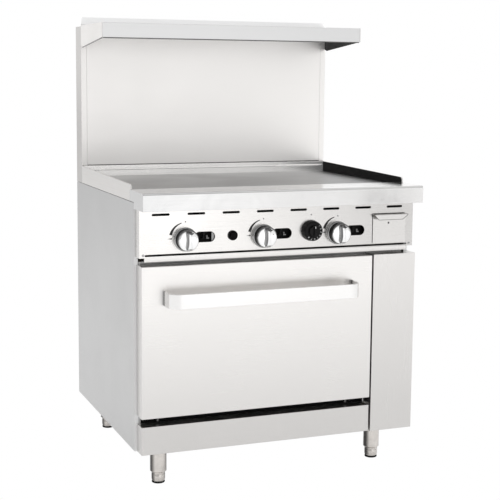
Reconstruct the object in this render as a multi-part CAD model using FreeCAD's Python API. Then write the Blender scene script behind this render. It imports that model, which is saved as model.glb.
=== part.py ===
"""Commercial gas range: a 36 inch griddle over one gas oven, with a high back riser and shelf.

Millimetres, +Z up.  While the range is being modelled, X = 0 is its middle, Y = 0 is the front
edge of the side panels (the front of the range looks along -Y) and Z = 0 is the floor.  Each
sub-part is moved back by CENTRE_Y as it is written, so the origin ends up on the floor, in the
middle of the whole range.
"""
import FreeCAD, Part
import os

Vector = FreeCAD.Vector

# ---- driving dimensions ------------------------------------------------------------------
WIDTH = 914.4               # 36 inch range
HALF = WIDTH / 2
SHEET = 1.5                 # folded stainless sheet
BEND = 1.2                  # outer radius of a fold that shows
CLEAR = 1.0                 # gap between neighbouring sheet parts
TOUCH = 0.2                 # gap between pieces that rest on each other

# planes along Y, from the front of the handle to the back of the riser
HANDLE_FRONT_Y = -125.0
RIM_FRONT_Y = -95.0
PILASTER_Y = -55.0
DOOR_Y = -53.6
INNER_SKIN_Y = -5.5         # front face of the door's inner skin
KICK_Y = -50.0
PANEL_Y = -40.5
COVER_BACK_Y = -0.5         # the front covers stop just short of the side panels
SHELF_FRONT_Y = 364.0
SHELF_BACK_Y = 649.7
RISER_FRONT_Y = 650.0
BACK_PANEL_Y = 690.0
BACK_Y = 725.0
CENTRE_Y = (HANDLE_FRONT_Y + BACK_Y) / 2

# heights
BODY_BOTTOM = 121.0
LEG_PLATE_BOTTOM = 117.0
KICK_TOP = 207.0
DOOR_BOTTOM = 232.0
DOOR_TOP = 692.0
TRIM_BOTTOM = 703.0
PANEL_BOTTOM = 716.0
PANEL_TOP = 859.0
SIDE_TOP = 877.0
TOP_BOTTOM = 878.5          # the griddle top starts above a thin seam
LEDGE_TOP = 912.0
SPLASH_TOP = 930.0
RISER_FRONT_BOTTOM = 941.0
RISER_FLANGE = 19.0
RISER_TOP = 1412.0
SHELF_TOP = 1415.0
SHELF_FACE_BOTTOM = 1368.0
FLUE_CAP_TOP = 1441.5
BRACKET_PLATE = 2.0
BRACKET_BOTTOM = 1342.0

# front faces
DOOR_X = (-449.0, 305.0)
PILASTER_X = (310.0, HALF)
PANEL_HALF = 453.0
TRIM_X = (-436.0, 433.0)
DOOR_CENTRE_X = sum(DOOR_X) / 2

# oven cavity, inside the liner
CAVITY_X = (-408.5, 264.5)
CAVITY_Y = (4.5, 620.0)
CAVITY_Z = (285.0, 655.0)
INSULATION = 40.0
RACK_RUNG_Z = 450.0
WIRE = 3.0                  # radius of the rack's and the guides' wire

# griddle
LEDGE_BACK_Y = 46.0
PLATE_Y = (130.0, 640.0)
PLATE_HALF = 451.0
PLATE_Z = (883.0, 902.0)
SPLASH_PLATE = 4.5
BURNER_X = (-300.0, 0.0, 300.0)
BURNER_Z = 828.0
BURNER_RADIUS = 18.0
TUBE_WALL = 2.0
FRONT_RAIL_Y = 134.0
TROUGH_HALF = HALF - 13.0

# controls on the front panel
CONTROL_Z = 767.5
KNOB_X = {"left": -310.5, "centre": -60.5, "right": 188.5}
KNOB_RADIUS = 32.5
BEZEL_RADIUS = 38.0
DIAL_X = 98.0
DIAL_Z = 778.0
IGNITER_X = -161.0
IGNITER_Z = 773.5
WINDOW_Z = 772.5
WINDOW_END_X = 93.5         # from a knob's axis to the far end of its pilot window
WINDOW_SIZE = (66.0, 32.0)
VENT_PITCH = 110.5
VENT_SIZE = (55.0, 7.0)
VENT_Z = 843.5
STEM_RADIUS = 4.0
STEM_END_Y = -15.0
BARREL_RADIUS = 12.5        # of the igniter
BUTTON_RADIUS = 10.0

# grease drawer
DRAWER_X = (311.0, 422.0)
DRAWER_Z = (733.0, 821.0)
DRAWER_BACK_Y = 330.0
SPOUT_X = 366.0
SPOUT_RADIUS = 22.0

# gas supply
PIPE_RADIUS = 13.35         # 3/4 inch NPT pipe
PIPE_WALL = 2.9
MANIFOLD_Y = 30.0
SUPPLY_X = 270.0
REGULATOR_Y = (545.0, 625.0)

# oven door hinge
HINGE_X = (-390.0, 237.0)
HINGE_Y = -32.0
HINGE_Z = 241.0
HINGE_ARM_TOP = 340.0
HINGE_PIN_RADIUS = 4.0
HINGE_PLATE = 5.0
RUNNING_FIT = 0.05

# plug of the door, and its handle
PLUG_X = (CAVITY_X[0] + 10, CAVITY_X[1] - 10)
PLUG_Y = 20.0
PLUG_Z = (CAVITY_Z[0] + 10, CAVITY_Z[1] - 10)
HANDLE_X = (DOOR_CENTRE_X - 310.0, DOOR_CENTRE_X + 310.0)
HANDLE_Z = (573.0, 617.5)
HANDLE_BEND = 38.0
HANDLE_BAND = 5.0

# legs
LEG_X = (-368.0, 368.0)
LEG_Y = {"front": 48.0, "rear": 661.0}
LEG_RADIUS = 25.4
LEG_BOTTOM = 34.0
FOOT_RADIUS = 21.0
FOOT_FIT = 0.5
FOOT_STEM_TOP = 82.0
PAD_RADIUS = 20.5
PAD_HEIGHT = 4.0

X_AXIS = Vector(1, 0, 0)
Y_AXIS = Vector(0, 1, 0)
Z_AXIS = Vector(0, 0, 1)


# ---- small helpers -----------------------------------------------------------------------
def box(x, y, z):
    """Block between the pairs x, y and z."""
    return Part.makeBox(x[1] - x[0], y[1] - y[0], z[1] - z[0], Vector(x[0], y[0], z[0]))


def rod(radius, start, end):
    """Round bar from one point to another."""
    start = Vector(*start)
    along = Vector(*end) - start
    return Part.makeCylinder(radius, along.Length, start, along)


def pipe(radius, wall, start, end):
    """Hollow round bar."""
    return rod(radius, start, end).cut(rod(radius - wall, start, end))


def fused(shapes):
    """One clean solid from touching or overlapping shapes."""
    first, *rest = shapes
    return first.fuse(rest).removeSplitter() if rest else first


def cut_all(shape, tools):
    return shape.cut(list(tools))


def plate_x(points, x):
    """Plate with an outline of (y, z) points, between two values of x."""
    wire = Part.makePolygon([Vector(x[0], y, z) for y, z in points + points[:1]])
    return Part.Face(wire).extrude(Vector(x[1] - x[0], 0, 0))


def long_hole(centre, size, y):
    """Cutter for a slot with round ends in the front panel: size is its length and height."""
    radius = size[1] / 2
    reach = size[0] / 2 - radius
    ends = [rod(radius, (centre[0] + side * reach, y[0], centre[1]),
                (centre[0] + side * reach, y[1], centre[1])) for side in (-1, 1)]
    middle = box((centre[0] - reach, centre[0] + reach), y, (centre[1] - radius, centre[1] + radius))
    return fused([middle] + ends)


def edges_along(shape, direction, test=lambda middle: True):
    """Straight edges that run along a direction and whose middle passes a test."""
    found = []
    for edge in shape.Edges:
        if not isinstance(edge.Curve, Part.Line):
            continue
        if abs(edge.tangentAt(edge.FirstParameter).dot(direction)) > 0.999:
            middle = edge.valueAt((edge.FirstParameter + edge.LastParameter) / 2)
            if test(middle):
                found.append(edge)
    return found


def tray(x, y, z, wall, open_side):
    """Thin-walled box with one side missing: front, back, top or bottom."""
    inner_x = (x[0] + wall, x[1] - wall)
    inner_y = [y[0] + wall, y[1] - wall]
    inner_z = [z[0] + wall, z[1] - wall]
    if open_side == "front":
        inner_y[0] = y[0] - wall
    if open_side == "back":
        inner_y[1] = y[1] + wall
    if open_side == "top":
        inner_z[1] = z[1] + wall
    if open_side == "bottom":
        inner_z[0] = z[0] - wall
    return box(x, y, z).cut(box(inner_x, inner_y, inner_z))


def mirrored(shape):
    """The same piece on the other side of X = 0."""
    return shape.mirror(Vector(0, 0, 0), X_AXIS)


# ---- cabinet -----------------------------------------------------------------------------
def side_panel():
    """Left side: one sheet with folded flanges at the front, back, top and bottom."""
    flange = 12.0
    left = (-HALF, -HALF + SHEET)
    turned = (-HALF, -HALF + flange)
    z = (BODY_BOTTOM, SIDE_TOP)
    return fused([
        box(left, (0, BACK_Y), z),
        box(turned, (0, SHEET), z),
        box(turned, (BACK_Y - SHEET, BACK_Y), z),
        box(turned, (0, BACK_Y), (BODY_BOTTOM, BODY_BOTTOM + SHEET)),
        box(turned, (0, BACK_Y), (SIDE_TOP - SHEET, SIDE_TOP)),
    ])


def back_panel():
    """Recessed back sheet with louvre slots and a hole for the gas inlet."""
    half = HALF - SHEET - CLEAR
    bottom = 165.0
    lowest_slot = 260.0
    slot_pitch = (150.0, 30.0)
    slot_size = (90.0, 9.0)
    pipe_clearance = 4.0
    sheet = box((-half, half), (BACK_PANEL_Y, BACK_PANEL_Y + SHEET), (bottom, SIDE_TOP - 2 * SHEET))
    through = (BACK_PANEL_Y - SHEET, BACK_PANEL_Y + 2 * SHEET)
    slots = [long_hole((column * slot_pitch[0], lowest_slot + row * slot_pitch[1]), slot_size, through)
             for column in (-2, -1, 0, 1, 2) for row in range(5)]
    inlet = rod(PIPE_RADIUS + pipe_clearance, (SUPPLY_X, through[0], CONTROL_Z),
                (SUPPLY_X, through[1], CONTROL_Z))
    return cut_all(sheet, slots + [inlet])


def base_frame():
    """Ring of channel rails, open below, with a threaded plate over each leg."""
    rail_height = 39.5
    rail_z = (BODY_BOTTOM + SHEET, BODY_BOTTOM + SHEET + rail_height)
    half = HALF - SHEET - CLEAR
    side_width = 38.0
    leg_band = 30.0
    wall = 3.0
    rails = [tray((-half, half), (y - leg_band, y + leg_band), rail_z, wall, "bottom")
             for y in LEG_Y.values()]
    inner_span = (LEG_Y["front"] + leg_band - wall, LEG_Y["rear"] - leg_band + wall)
    for x in ((-half, -half + side_width), (half - side_width, half)):
        rails.append(tray(x, inner_span, rail_z, wall, "bottom"))
    plate_half = 45.0
    plate_z = (LEG_PLATE_BOTTOM, rail_z[0])
    plates = [box((x - plate_half, x + plate_half), (y - leg_band, y + leg_band), plate_z)
              for x in LEG_X for y in LEG_Y.values()]
    return fused(rails + plates)


def leg_tubes():
    """Four round legs, each with a closed top and a chamfered mouth for its foot."""
    legs = []
    closed_end = 6.0
    mouth_chamfer = 3.5
    for x in LEG_X:
        for y in LEG_Y.values():
            tube = rod(LEG_RADIUS, (x, y, LEG_BOTTOM), (x, y, LEG_PLATE_BOTTOM))
            mouth = [edge for edge in tube.Edges if edge.BoundBox.ZMax < LEG_BOTTOM + 0.1]
            tube = tube.makeChamfer(mouth_chamfer, mouth)
            bore = rod(FOOT_RADIUS + FOOT_FIT, (x, y, LEG_BOTTOM), (x, y, LEG_PLATE_BOTTOM - closed_end))
            legs.append(tube.cut(bore))
    return legs


def foot(x, y):
    """Screw-out foot: a bullet stem inside the leg and a round pad on the floor."""
    stem = rod(FOOT_RADIUS, (x, y, PAD_HEIGHT), (x, y, FOOT_STEM_TOP))
    pad = rod(PAD_RADIUS, (x, y, 0), (x, y, PAD_HEIGHT))
    pad_chamfer = 1.5
    pad = pad.makeChamfer(pad_chamfer, [edge for edge in pad.Edges if edge.BoundBox.ZMax < 0.1])
    return fused([stem, pad])


def kick_panel():
    """Plain lower front panel, folded back at its edges."""
    panel = tray(DOOR_X, (KICK_Y, COVER_BACK_Y), (BODY_BOTTOM, KICK_TOP), SHEET, "back")
    return panel.makeFillet(BEND, edges_along(panel, X_AXIS, lambda m: m.y < KICK_Y + 0.1))


def pilaster_cover():
    """Tall narrow cover beside the door; the gas train runs behind it."""
    cover = tray(PILASTER_X, (PILASTER_Y, COVER_BACK_Y), (BODY_BOTTOM, DOOR_TOP + 2), SHEET, "back")
    return cover.makeFillet(BEND, edges_along(cover, Z_AXIS, lambda m: m.y < PILASTER_Y + 0.1))


def control_panel():
    """Folded front panel with its vents, windows, stem holes and drawer opening."""
    panel = tray((-PANEL_HALF, PANEL_HALF), (PANEL_Y, COVER_BACK_Y), (PANEL_BOTTOM, PANEL_TOP), SHEET, "back")
    through = (PANEL_Y - SHEET, PANEL_Y + 2 * SHEET)
    stem_clearance = 2.0
    drip_slot = (-1.5, 723.0)
    drip_slot_size = (869.0, 6.0)
    vents = 8

    def round_hole(x, z, radius):
        return rod(radius, (x, through[0], z), (x, through[1], z))

    holes = [long_hole(((i - (vents - 1) / 2) * VENT_PITCH, VENT_Z), VENT_SIZE, through)
             for i in range(vents)]
    for x in KNOB_X.values():
        window_x = x + WINDOW_END_X - WINDOW_SIZE[0] / 2
        holes.append(long_hole((window_x, WINDOW_Z), WINDOW_SIZE, through))
        holes.append(round_hole(x, CONTROL_Z, STEM_RADIUS + stem_clearance))
    holes.append(round_hole(DIAL_X, DIAL_Z, STEM_RADIUS + stem_clearance))
    holes.append(round_hole(IGNITER_X, IGNITER_Z, BARREL_RADIUS + 0.5))
    holes.append(long_hole(drip_slot, drip_slot_size, through))
    gap = 2 * CLEAR
    holes.append(box((DRAWER_X[0] - gap, DRAWER_X[1] + gap), through, (DRAWER_Z[0] - gap, DRAWER_Z[1] + gap)))
    return cut_all(panel, holes)


def panel_trim():
    """Set-back bright strip under the front panel."""
    front_y = PANEL_Y + 5.0
    strip = box(TRIM_X, (front_y, front_y + SHEET), (TRIM_BOTTOM, PANEL_BOTTOM))
    turned = box(TRIM_X, (front_y, COVER_BACK_Y), (TRIM_BOTTOM, TRIM_BOTTOM + SHEET))
    return fused([strip, turned])


def panel_screws():
    """Round-headed screws: front panel corners and the back panel."""
    head_radius = 4.0
    head = 2.0
    front_z = PANEL_BOTTOM + 8
    back_y = BACK_PANEL_Y + SHEET
    screws = []
    for x in (12 - PANEL_HALF, PANEL_HALF - 12):
        screws.append(rod(head_radius, (x, PANEL_Y - head, front_z), (x, PANEL_Y, front_z)))
    for x in (-420.0, -140.0, 140.0, 420.0):
        for z in (185.0, 850.0):
            screws.append(rod(head_radius, (x, back_y, z), (x, back_y + head, z)))
    return screws


# ---- griddle top -------------------------------------------------------------------------
def front_rim():
    """Polished bull-nose ledge across the front, closed at both ends."""
    outer = box((-HALF, HALF), (RIM_FRONT_Y, LEDGE_BACK_Y), (PANEL_TOP, LEDGE_TOP))
    nose = edges_along(outer, X_AXIS, lambda m: m.y < RIM_FRONT_Y + 0.1)
    nose_radius = 6.0
    wall = 2.0
    top_wall = 3.0
    lip_depth = 50.0
    inside_x = (-HALF + wall, HALF - wall)
    outer = outer.makeFillet(nose_radius, [edge for edge in nose if edge.BoundBox.ZMax > LEDGE_TOP - 1])
    hollow = box(inside_x, (RIM_FRONT_Y + wall, LEDGE_BACK_Y - wall), (PANEL_TOP - 1, LEDGE_TOP - top_wall))
    back_step = box((-HALF, HALF), (0.0, LEDGE_BACK_Y + 1), (PANEL_TOP - 1, TOP_BOTTOM))
    lip = box(inside_x, (RIM_FRONT_Y + wall, RIM_FRONT_Y + lip_depth), (PANEL_TOP, PANEL_TOP + SHEET))
    return fused([outer.cut(hollow).cut(back_step), lip])


def griddle_plate():
    """Thick machined steel plate."""
    chamfer = 3.0
    plate = box((-PLATE_HALF, PLATE_HALF), PLATE_Y, PLATE_Z)
    front_top = edges_along(plate, X_AXIS, lambda m: m.y < PLATE_Y[0] + 0.1 and m.z > PLATE_Z[1] - 0.1)
    return plate.makeChamfer(chamfer, front_top)


def splash_side():
    """Left splash: closes the side of the griddle top and stands above the ledge."""
    x = (-HALF, -HALF + SPLASH_PLATE)
    over_ledge = LEDGE_TOP + TOUCH
    front_y = 36.0
    ledge_y = LEDGE_BACK_Y + TOUCH
    back_y = RISER_FRONT_Y - TOUCH
    outline = [(ledge_y, TOP_BOTTOM), (back_y, TOP_BOTTOM), (back_y, SPLASH_TOP + 7),
               (front_y + 8, SPLASH_TOP - 2), (front_y, SPLASH_TOP - 9), (front_y, over_ledge),
               (ledge_y, over_ledge)]
    return plate_x(outline, x)


def splash_rear():
    """Rear splash with a rolled bead, between the plate and the riser."""
    half = HALF - SPLASH_PLATE - CLEAR
    top = 938.0
    bead_z = 924.0
    bead_radius = 4.0
    wall = 3.0
    front_y = PLATE_Y[1] + 0.5
    sheet = box((-half, half), (front_y, PLATE_Y[1] + wall), (PLATE_Z[0], top))
    bead = rod(bead_radius, (-half, PLATE_Y[1] + wall, bead_z), (half, PLATE_Y[1] + wall, bead_z))
    foot_strip = box((-half, half), (front_y, RISER_FRONT_Y - 0.5), (PLATE_Z[0], PLATE_Z[0] + wall))
    return fused([sheet, bead, foot_strip])


def grease_trough():
    """Channel in front of the plate; its spout drops into the drawer."""
    bottom = 858.0
    wall = 2.0
    spout_bottom = bottom - 16
    y = (LEDGE_BACK_Y + CLEAR, PLATE_Y[0] - CLEAR)
    channel = tray((-TROUGH_HALF, TROUGH_HALF), y, (bottom, PLATE_Z[1]), wall, "top")
    spout_y = sum(y) / 2
    spout = rod(SPOUT_RADIUS, (SPOUT_X, spout_y, spout_bottom), (SPOUT_X, spout_y, bottom + 1))
    bore = rod(SPOUT_RADIUS - wall, (SPOUT_X, spout_y, spout_bottom - 1), (SPOUT_X, spout_y, bottom + 3))
    return fused([channel, spout]).cut(bore)


def griddle_burners():
    """Three tubular burners: two long arms joined by a mixing tube at the front."""
    arm_half = 75.0
    front_y = 134.0
    rear_y = 600.0
    mixer_radius = 14.0
    mouth_y = 62.0

    def burner_shape(x, shrink):
        """Outer skin of one burner, or its inside when shrink is the wall."""
        radius = BURNER_RADIUS - shrink
        arms = [rod(radius, (x + side * arm_half, front_y - shrink, BURNER_Z),
                    (x + side * arm_half, rear_y - shrink, BURNER_Z)) for side in (-1, 1)]
        cross = rod(radius, (x - arm_half, front_y, BURNER_Z), (x + arm_half, front_y, BURNER_Z))
        mixer = rod(mixer_radius - shrink, (x, mouth_y - shrink, BURNER_Z), (x, front_y, BURNER_Z))
        return fused(arms + [cross, mixer])

    return [burner_shape(x, 0.0).cut(burner_shape(x, TUBE_WALL)) for x in BURNER_X]


def burner_supports():
    """Front and rear angle rails that carry the plate."""
    wall = 3.0
    shelf_depth = 30.0
    rear_y = 606.0
    top = PLATE_Z[0] - TOUCH
    web_bottom = 850.0
    x = (-TROUGH_HALF, TROUGH_HALF)
    rails = []
    for y, web_y in ((FRONT_RAIL_Y, FRONT_RAIL_Y), (rear_y, rear_y + shelf_depth - wall)):
        web = box(x, (web_y, web_y + wall), (web_bottom, top))
        shelf = box(x, (y, y + shelf_depth), (top - wall, top))
        rails.append(fused([web, shelf]))
    return rails


def griddle_pilots():
    """Pilot burner and its shield, one behind each window of the front panel."""
    pilots = []
    shield_y = -8.0
    tip_y = -20.0
    tip_radius = 4.0
    tip_z = (WINDOW_Z - 6.5, WINDOW_Z + 9.5)
    bracket_z = (tip_z[0] - 2, tip_z[0])
    for x in KNOB_X.values():
        middle = x + WINDOW_END_X - 30.0
        shield = box((middle - 42, middle + 36), (shield_y, shield_y + SHEET), (748.0, 800.0))
        bracket = box((middle - 6, middle + 6), (tip_y - tip_radius, shield_y), bracket_z)
        tip = rod(tip_radius, (middle, tip_y, tip_z[0]), (middle, tip_y, tip_z[1]))
        pilots.append(fused([shield, bracket, tip]))
    return pilots


# ---- gas train ---------------------------------------------------------------------------
def gas_manifold():
    """Capped pipe behind the front panel, with a branch to the supply at its right end."""
    ends = (-360.0, SUPPLY_X + 24)
    cap_radius = 17.0
    cap_length = 14.0
    left_end = (ends[0], MANIFOLD_Y, CONTROL_Z)
    right_end = (ends[1], MANIFOLD_Y, CONTROL_Z)
    corner = (SUPPLY_X, MANIFOLD_Y, CONTROL_Z)
    branch_end = REGULATOR_Y[0] - 5
    bore_radius = PIPE_RADIUS - PIPE_WALL
    along = rod(PIPE_RADIUS, left_end, right_end)
    caps = [rod(cap_radius, (x, MANIFOLD_Y, CONTROL_Z), (x + cap_length, MANIFOLD_Y, CONTROL_Z))
            for x in (ends[0] - 8, ends[1] - 6)]
    branch = rod(PIPE_RADIUS, corner, (SUPPLY_X, branch_end, CONTROL_Z))
    bore = rod(bore_radius, left_end, right_end)
    branch_bore = rod(bore_radius, corner, (SUPPLY_X, branch_end + 1, CONTROL_Z))
    return cut_all(fused([along, branch] + caps), [bore, branch_bore])


def griddle_valves():
    """Brass valve bodies screwed into the manifold, one behind each knob."""
    valves = []
    front_y = -30.0
    back_y = MANIFOLD_Y - PIPE_RADIUS - TOUCH
    body_radius = 14.0
    socket_end_y = STEM_END_Y + 1
    outlet_y = -8.0
    outlet_radius = 6.0
    outlet_height = 34.0
    for x in KNOB_X.values():
        body = rod(body_radius, (x, front_y, CONTROL_Z), (x, back_y, CONTROL_Z))
        socket = rod(STEM_RADIUS + RUNNING_FIT, (x, front_y - 1, CONTROL_Z), (x, socket_end_y, CONTROL_Z))
        outlet = rod(outlet_radius, (x, outlet_y, CONTROL_Z), (x, outlet_y, CONTROL_Z + outlet_height))
        valves.append(fused([body, outlet]).cut(socket))
    return valves


def thermostat_valve():
    """Oven thermostat body behind the dial."""
    half = 24.0
    body_y = (-26.0, MANIFOLD_Y - PIPE_RADIUS - TOUCH)
    nose_radius = 11.0
    nose_y = -34.0
    body = box((DIAL_X - half, DIAL_X + half), body_y, (DIAL_Z - half, DIAL_Z + half))
    nose = rod(nose_radius, (DIAL_X, nose_y, DIAL_Z), (DIAL_X, body_y[0], DIAL_Z))
    socket = rod(STEM_RADIUS + RUNNING_FIT, (DIAL_X, nose_y - 1, DIAL_Z), (DIAL_X, STEM_END_Y + 1, DIAL_Z))
    return fused([body, nose]).cut(socket)


def thermostat_bulb():
    """Temperature bulb inside the oven, clipped under its roof."""
    z = CAVITY_Z[1] - 18.0
    x = 215.0
    radius = 5.0
    bulb = rod(radius, (x, 240.0, z), (x, 470.0, z))
    clips = [box((x - 3, x + 3), (y, y + 4), (z, CAVITY_Z[1] - TOUCH)) for y in (260.0, 440.0)]
    return fused([bulb] + clips)


def pressure_regulator():
    """Disc-shaped gas regulator in the supply line."""
    middle = sum(REGULATOR_Y) / 2
    body_radius = 19.0
    bowl_radius = 36.0
    tower_radius = 15.0
    body = rod(body_radius, (SUPPLY_X, REGULATOR_Y[0], CONTROL_Z), (SUPPLY_X, REGULATOR_Y[1], CONTROL_Z))
    bowl = rod(bowl_radius, (SUPPLY_X, middle, CONTROL_Z - 6), (SUPPLY_X, middle, CONTROL_Z + 16))
    tower = rod(tower_radius, (SUPPLY_X, middle, CONTROL_Z + 14), (SUPPLY_X, middle, CONTROL_Z + 36))
    return fused([body, bowl, tower])


def gas_inlet_pipe():
    """Supply stub that ends in the recess of the back panel."""
    start_y = REGULATOR_Y[1] + 0.5
    return pipe(PIPE_RADIUS, PIPE_WALL, (SUPPLY_X, start_y, CONTROL_Z), (SUPPLY_X, BACK_Y - 3, CONTROL_Z))


def oven_gas_pipe():
    """Feed that runs down behind the pilaster, through the safety valve, and across to the oven."""
    x = 372.0
    y = 20.0
    radius = 6.0
    top = 690.0
    low = 250.0
    burner_end_x = 296.0
    valve_z = 450.0
    valve_radius = 17.0
    valve_nut_radius = 11.0
    return fused([
        rod(radius, (x, y, low), (x, y, top)),
        Part.makeSphere(radius, Vector(x, y, low)),
        rod(radius, (burner_end_x, y, low), (x, y, low)),
        rod(valve_radius, (x, y, valve_z - 30), (x, y, valve_z + 30)),
        rod(valve_nut_radius, (x, y, valve_z - 45), (x, y, valve_z + 45)),
    ])


# ---- oven --------------------------------------------------------------------------------
def oven_front_frame():
    """Flat frame round the mouth of the oven."""
    plate = box((DOOR_X[0] + 5, DOOR_X[1] + 3), (0.5, 3.0), (KICK_TOP - 5, DOOR_TOP + 8))
    mouth = box(CAVITY_X, (0, 4), CAVITY_Z)
    return plate.cut(mouth)


def oven_liner():
    """Enamelled box of the oven: sides, roof and back."""
    outer_x = (CAVITY_X[0] - SHEET, CAVITY_X[1] + SHEET)
    outer_z = (CAVITY_Z[0] - SHEET, CAVITY_Z[1] + SHEET)
    liner = tray(outer_x, (CAVITY_Y[0] - 1, CAVITY_Y[1] + SHEET), outer_z, SHEET, "front")
    ledge = 14.0
    floor_x = (CAVITY_X[0] + ledge, CAVITY_X[1] - ledge)
    floor_hole = box(floor_x, (CAVITY_Y[0] + ledge, CAVITY_Y[1] - ledge), (outer_z[0] - 1, CAVITY_Z[0] + 1))
    return liner.cut(floor_hole)


def oven_floor():
    """Lift-out floor plate, slotted along both sides for the hot air."""
    x = (CAVITY_X[0] + CLEAR, CAVITY_X[1] - CLEAR)
    bottom = CAVITY_Z[0] + TOUCH
    thickness = 2.0
    slot_size = (12.0, 70.0)
    slot_pitch = 105.0
    slot_inset = 40.0
    first_slot_y = 90.0
    plate = box(x, (CAVITY_Y[0] + 2, CAVITY_Y[1] - CLEAR), (bottom, bottom + thickness))
    slots = []
    for side_x in (x[0] + slot_inset, x[1] - slot_inset):
        for i in range(5):
            y = first_slot_y + i * slot_pitch
            slot_x = (side_x - slot_size[0] / 2, side_x + slot_size[0] / 2)
            slots.append(box(slot_x, (y, y + slot_size[1]), (bottom - 1, bottom + thickness + 1)))
    return cut_all(plate, slots)


def oven_insulation():
    """Wool boards round the liner: left, right, roof and back."""
    gap = SHEET + 0.5
    x = (CAVITY_X[0] - gap, CAVITY_X[1] + gap)
    y = (6.0, CAVITY_Y[1] + gap)
    z = (CAVITY_Z[0], CAVITY_Z[1] + gap)
    return [
        box((x[0] - INSULATION, x[0]), y, z),
        box((x[1], x[1] + INSULATION), y, z),
        box((x[0] - INSULATION, x[1] + INSULATION), y, (z[1], z[1] + INSULATION)),
        box((x[0] - INSULATION, x[1] + INSULATION), (y[1], y[1] + INSULATION), (z[0], z[1] + INSULATION)),
    ]


def rack_guides():
    """Wire ladders on the oven walls: three rungs on two uprights, left and right."""
    guides = []
    rung_pitch = 90.0
    rung_y = (60.0, 590.0)
    upright_z = (RACK_RUNG_Z - 110, RACK_RUNG_Z + 110)
    for wall, inward in ((CAVITY_X[0], 1), (CAVITY_X[1], -1)):
        upright_x = wall + inward * (WIRE + 0.3)
        rung_x = upright_x + inward * 5.0
        rungs = [rod(WIRE, (rung_x, rung_y[0], RACK_RUNG_Z + level * rung_pitch),
                     (rung_x, rung_y[1], RACK_RUNG_Z + level * rung_pitch)) for level in (-1, 0, 1)]
        uprights = [rod(WIRE, (upright_x, y, upright_z[0]), (upright_x, y, upright_z[1]))
                    for y in (130.0, 520.0)]
        guides.append(fused(rungs + uprights))
    return guides


def oven_rack():
    """Wire shelf resting on the middle rungs."""
    z = RACK_RUNG_Z + 2 * (WIRE + TOUCH)
    side_gap = 10.5
    x = (CAVITY_X[0] + side_gap, CAVITY_X[1] - side_gap)
    y = (52.0, 596.0)
    rim = [rod(WIRE, (x[0], side, z), (x[1], side, z)) for side in y]
    rim += [rod(WIRE, (side, y[0], z), (side, y[1], z)) for side in x]
    rim += [Part.makeSphere(WIRE, Vector(cx, cy, z)) for cx in x for cy in y]
    count = 17
    bar_radius = 2.2
    step = (x[1] - x[0]) / (count + 1)
    bars = [rod(bar_radius, (x[0] + step * (i + 1), y[0], z + 1), (x[0] + step * (i + 1), y[1], z + 1))
            for i in range(count)]
    stay = rod(WIRE, (x[0], sum(y) / 2, z), (x[1], sum(y) / 2, z))
    return fused(rim + bars + [stay])


def oven_burner():
    """Long tube burner under the oven floor, with a flame baffle above it."""
    x = DOOR_CENTRE_X
    z = 215.0
    radius = 20.0
    y = (60.0, 600.0)
    baffle_half = 110.0
    tube = rod(radius, (x, y[0], z), (x, y[1], z))
    bore = rod(radius - TUBE_WALL, (x, y[0] - 1, z), (x, y[1] - TUBE_WALL, z))
    baffle = box((x - baffle_half, x + baffle_half), (100.0, 590.0), (z + radius - 1, z + radius + 1))
    return fused([tube.cut(bore), baffle.cut(bore)])


# ---- riser and shelf ---------------------------------------------------------------------
def riser_back():
    """Back of the riser, folded forward at both sides and turned in at the front."""
    z = (TOP_BOTTOM, RISER_TOP)
    pieces = [box((-HALF, HALF), (BACK_Y - SHEET, BACK_Y), z)]
    for side in (-1, 1):
        outer = sorted((side * HALF, side * (HALF - SHEET)))
        turned = sorted((side * HALF, side * (HALF - RISER_FLANGE)))
        turned_z = (RISER_FRONT_BOTTOM - 2, RISER_TOP)
        pieces.append(box(outer, (RISER_FRONT_Y, BACK_Y), z))
        pieces.append(box(turned, (RISER_FRONT_Y, RISER_FRONT_Y + SHEET), turned_z))
    return fused(pieces)


def riser_front():
    """Flat splash sheet of the riser, set between the two turned edges."""
    half = HALF - RISER_FLANGE - 0.5
    x = (-half, half)
    fold_depth = 30.0
    fold_z = (RISER_FRONT_BOTTOM, RISER_FRONT_BOTTOM + SHEET)
    sheet = box(x, (RISER_FRONT_Y, RISER_FRONT_Y + SHEET), (RISER_FRONT_BOTTOM, RISER_TOP))
    turned = box(x, (RISER_FRONT_Y, RISER_FRONT_Y + fold_depth), fold_z)
    return fused([sheet, turned])


def flue_cap():
    """Lip on top of the riser: a narrow duct that leans forward, open at the top."""
    low = RISER_TOP + TOUCH
    outer = plate_x([(691.0, low), (665.0, FLUE_CAP_TOP), (639.0, FLUE_CAP_TOP), (655.0, low)], (-HALF, HALF))
    inside = [(690.6, low - 3), (661.0, FLUE_CAP_TOP + 2), (640.4, FLUE_CAP_TOP + 2), (658.6, low - 3)]
    inner = plate_x(inside, (-HALF + SHEET, HALF - SHEET))
    return outer.cut(inner)


def high_shelf():
    """Shelf sheet with a deep front face and a turned-in lower edge."""
    half = HALF - BRACKET_PLATE - TOUCH
    x = (-half, half)
    lip_depth = 14.0
    lip_z = (SHELF_FACE_BOTTOM, SHELF_FACE_BOTTOM + SHEET)
    top = box(x, (SHELF_FRONT_Y, SHELF_BACK_Y), (SHELF_TOP - SHEET, SHELF_TOP))
    face = box(x, (SHELF_FRONT_Y, SHELF_FRONT_Y + SHEET), (SHELF_FACE_BOTTOM, SHELF_TOP))
    turned = box(x, (SHELF_FRONT_Y, SHELF_FRONT_Y + lip_depth), lip_z)
    shelf = fused([top, face, turned])
    front = edges_along(shelf, X_AXIS, lambda m: m.y < SHELF_FRONT_Y + 0.1)
    return shelf.makeFillet(BEND, front)


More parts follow.
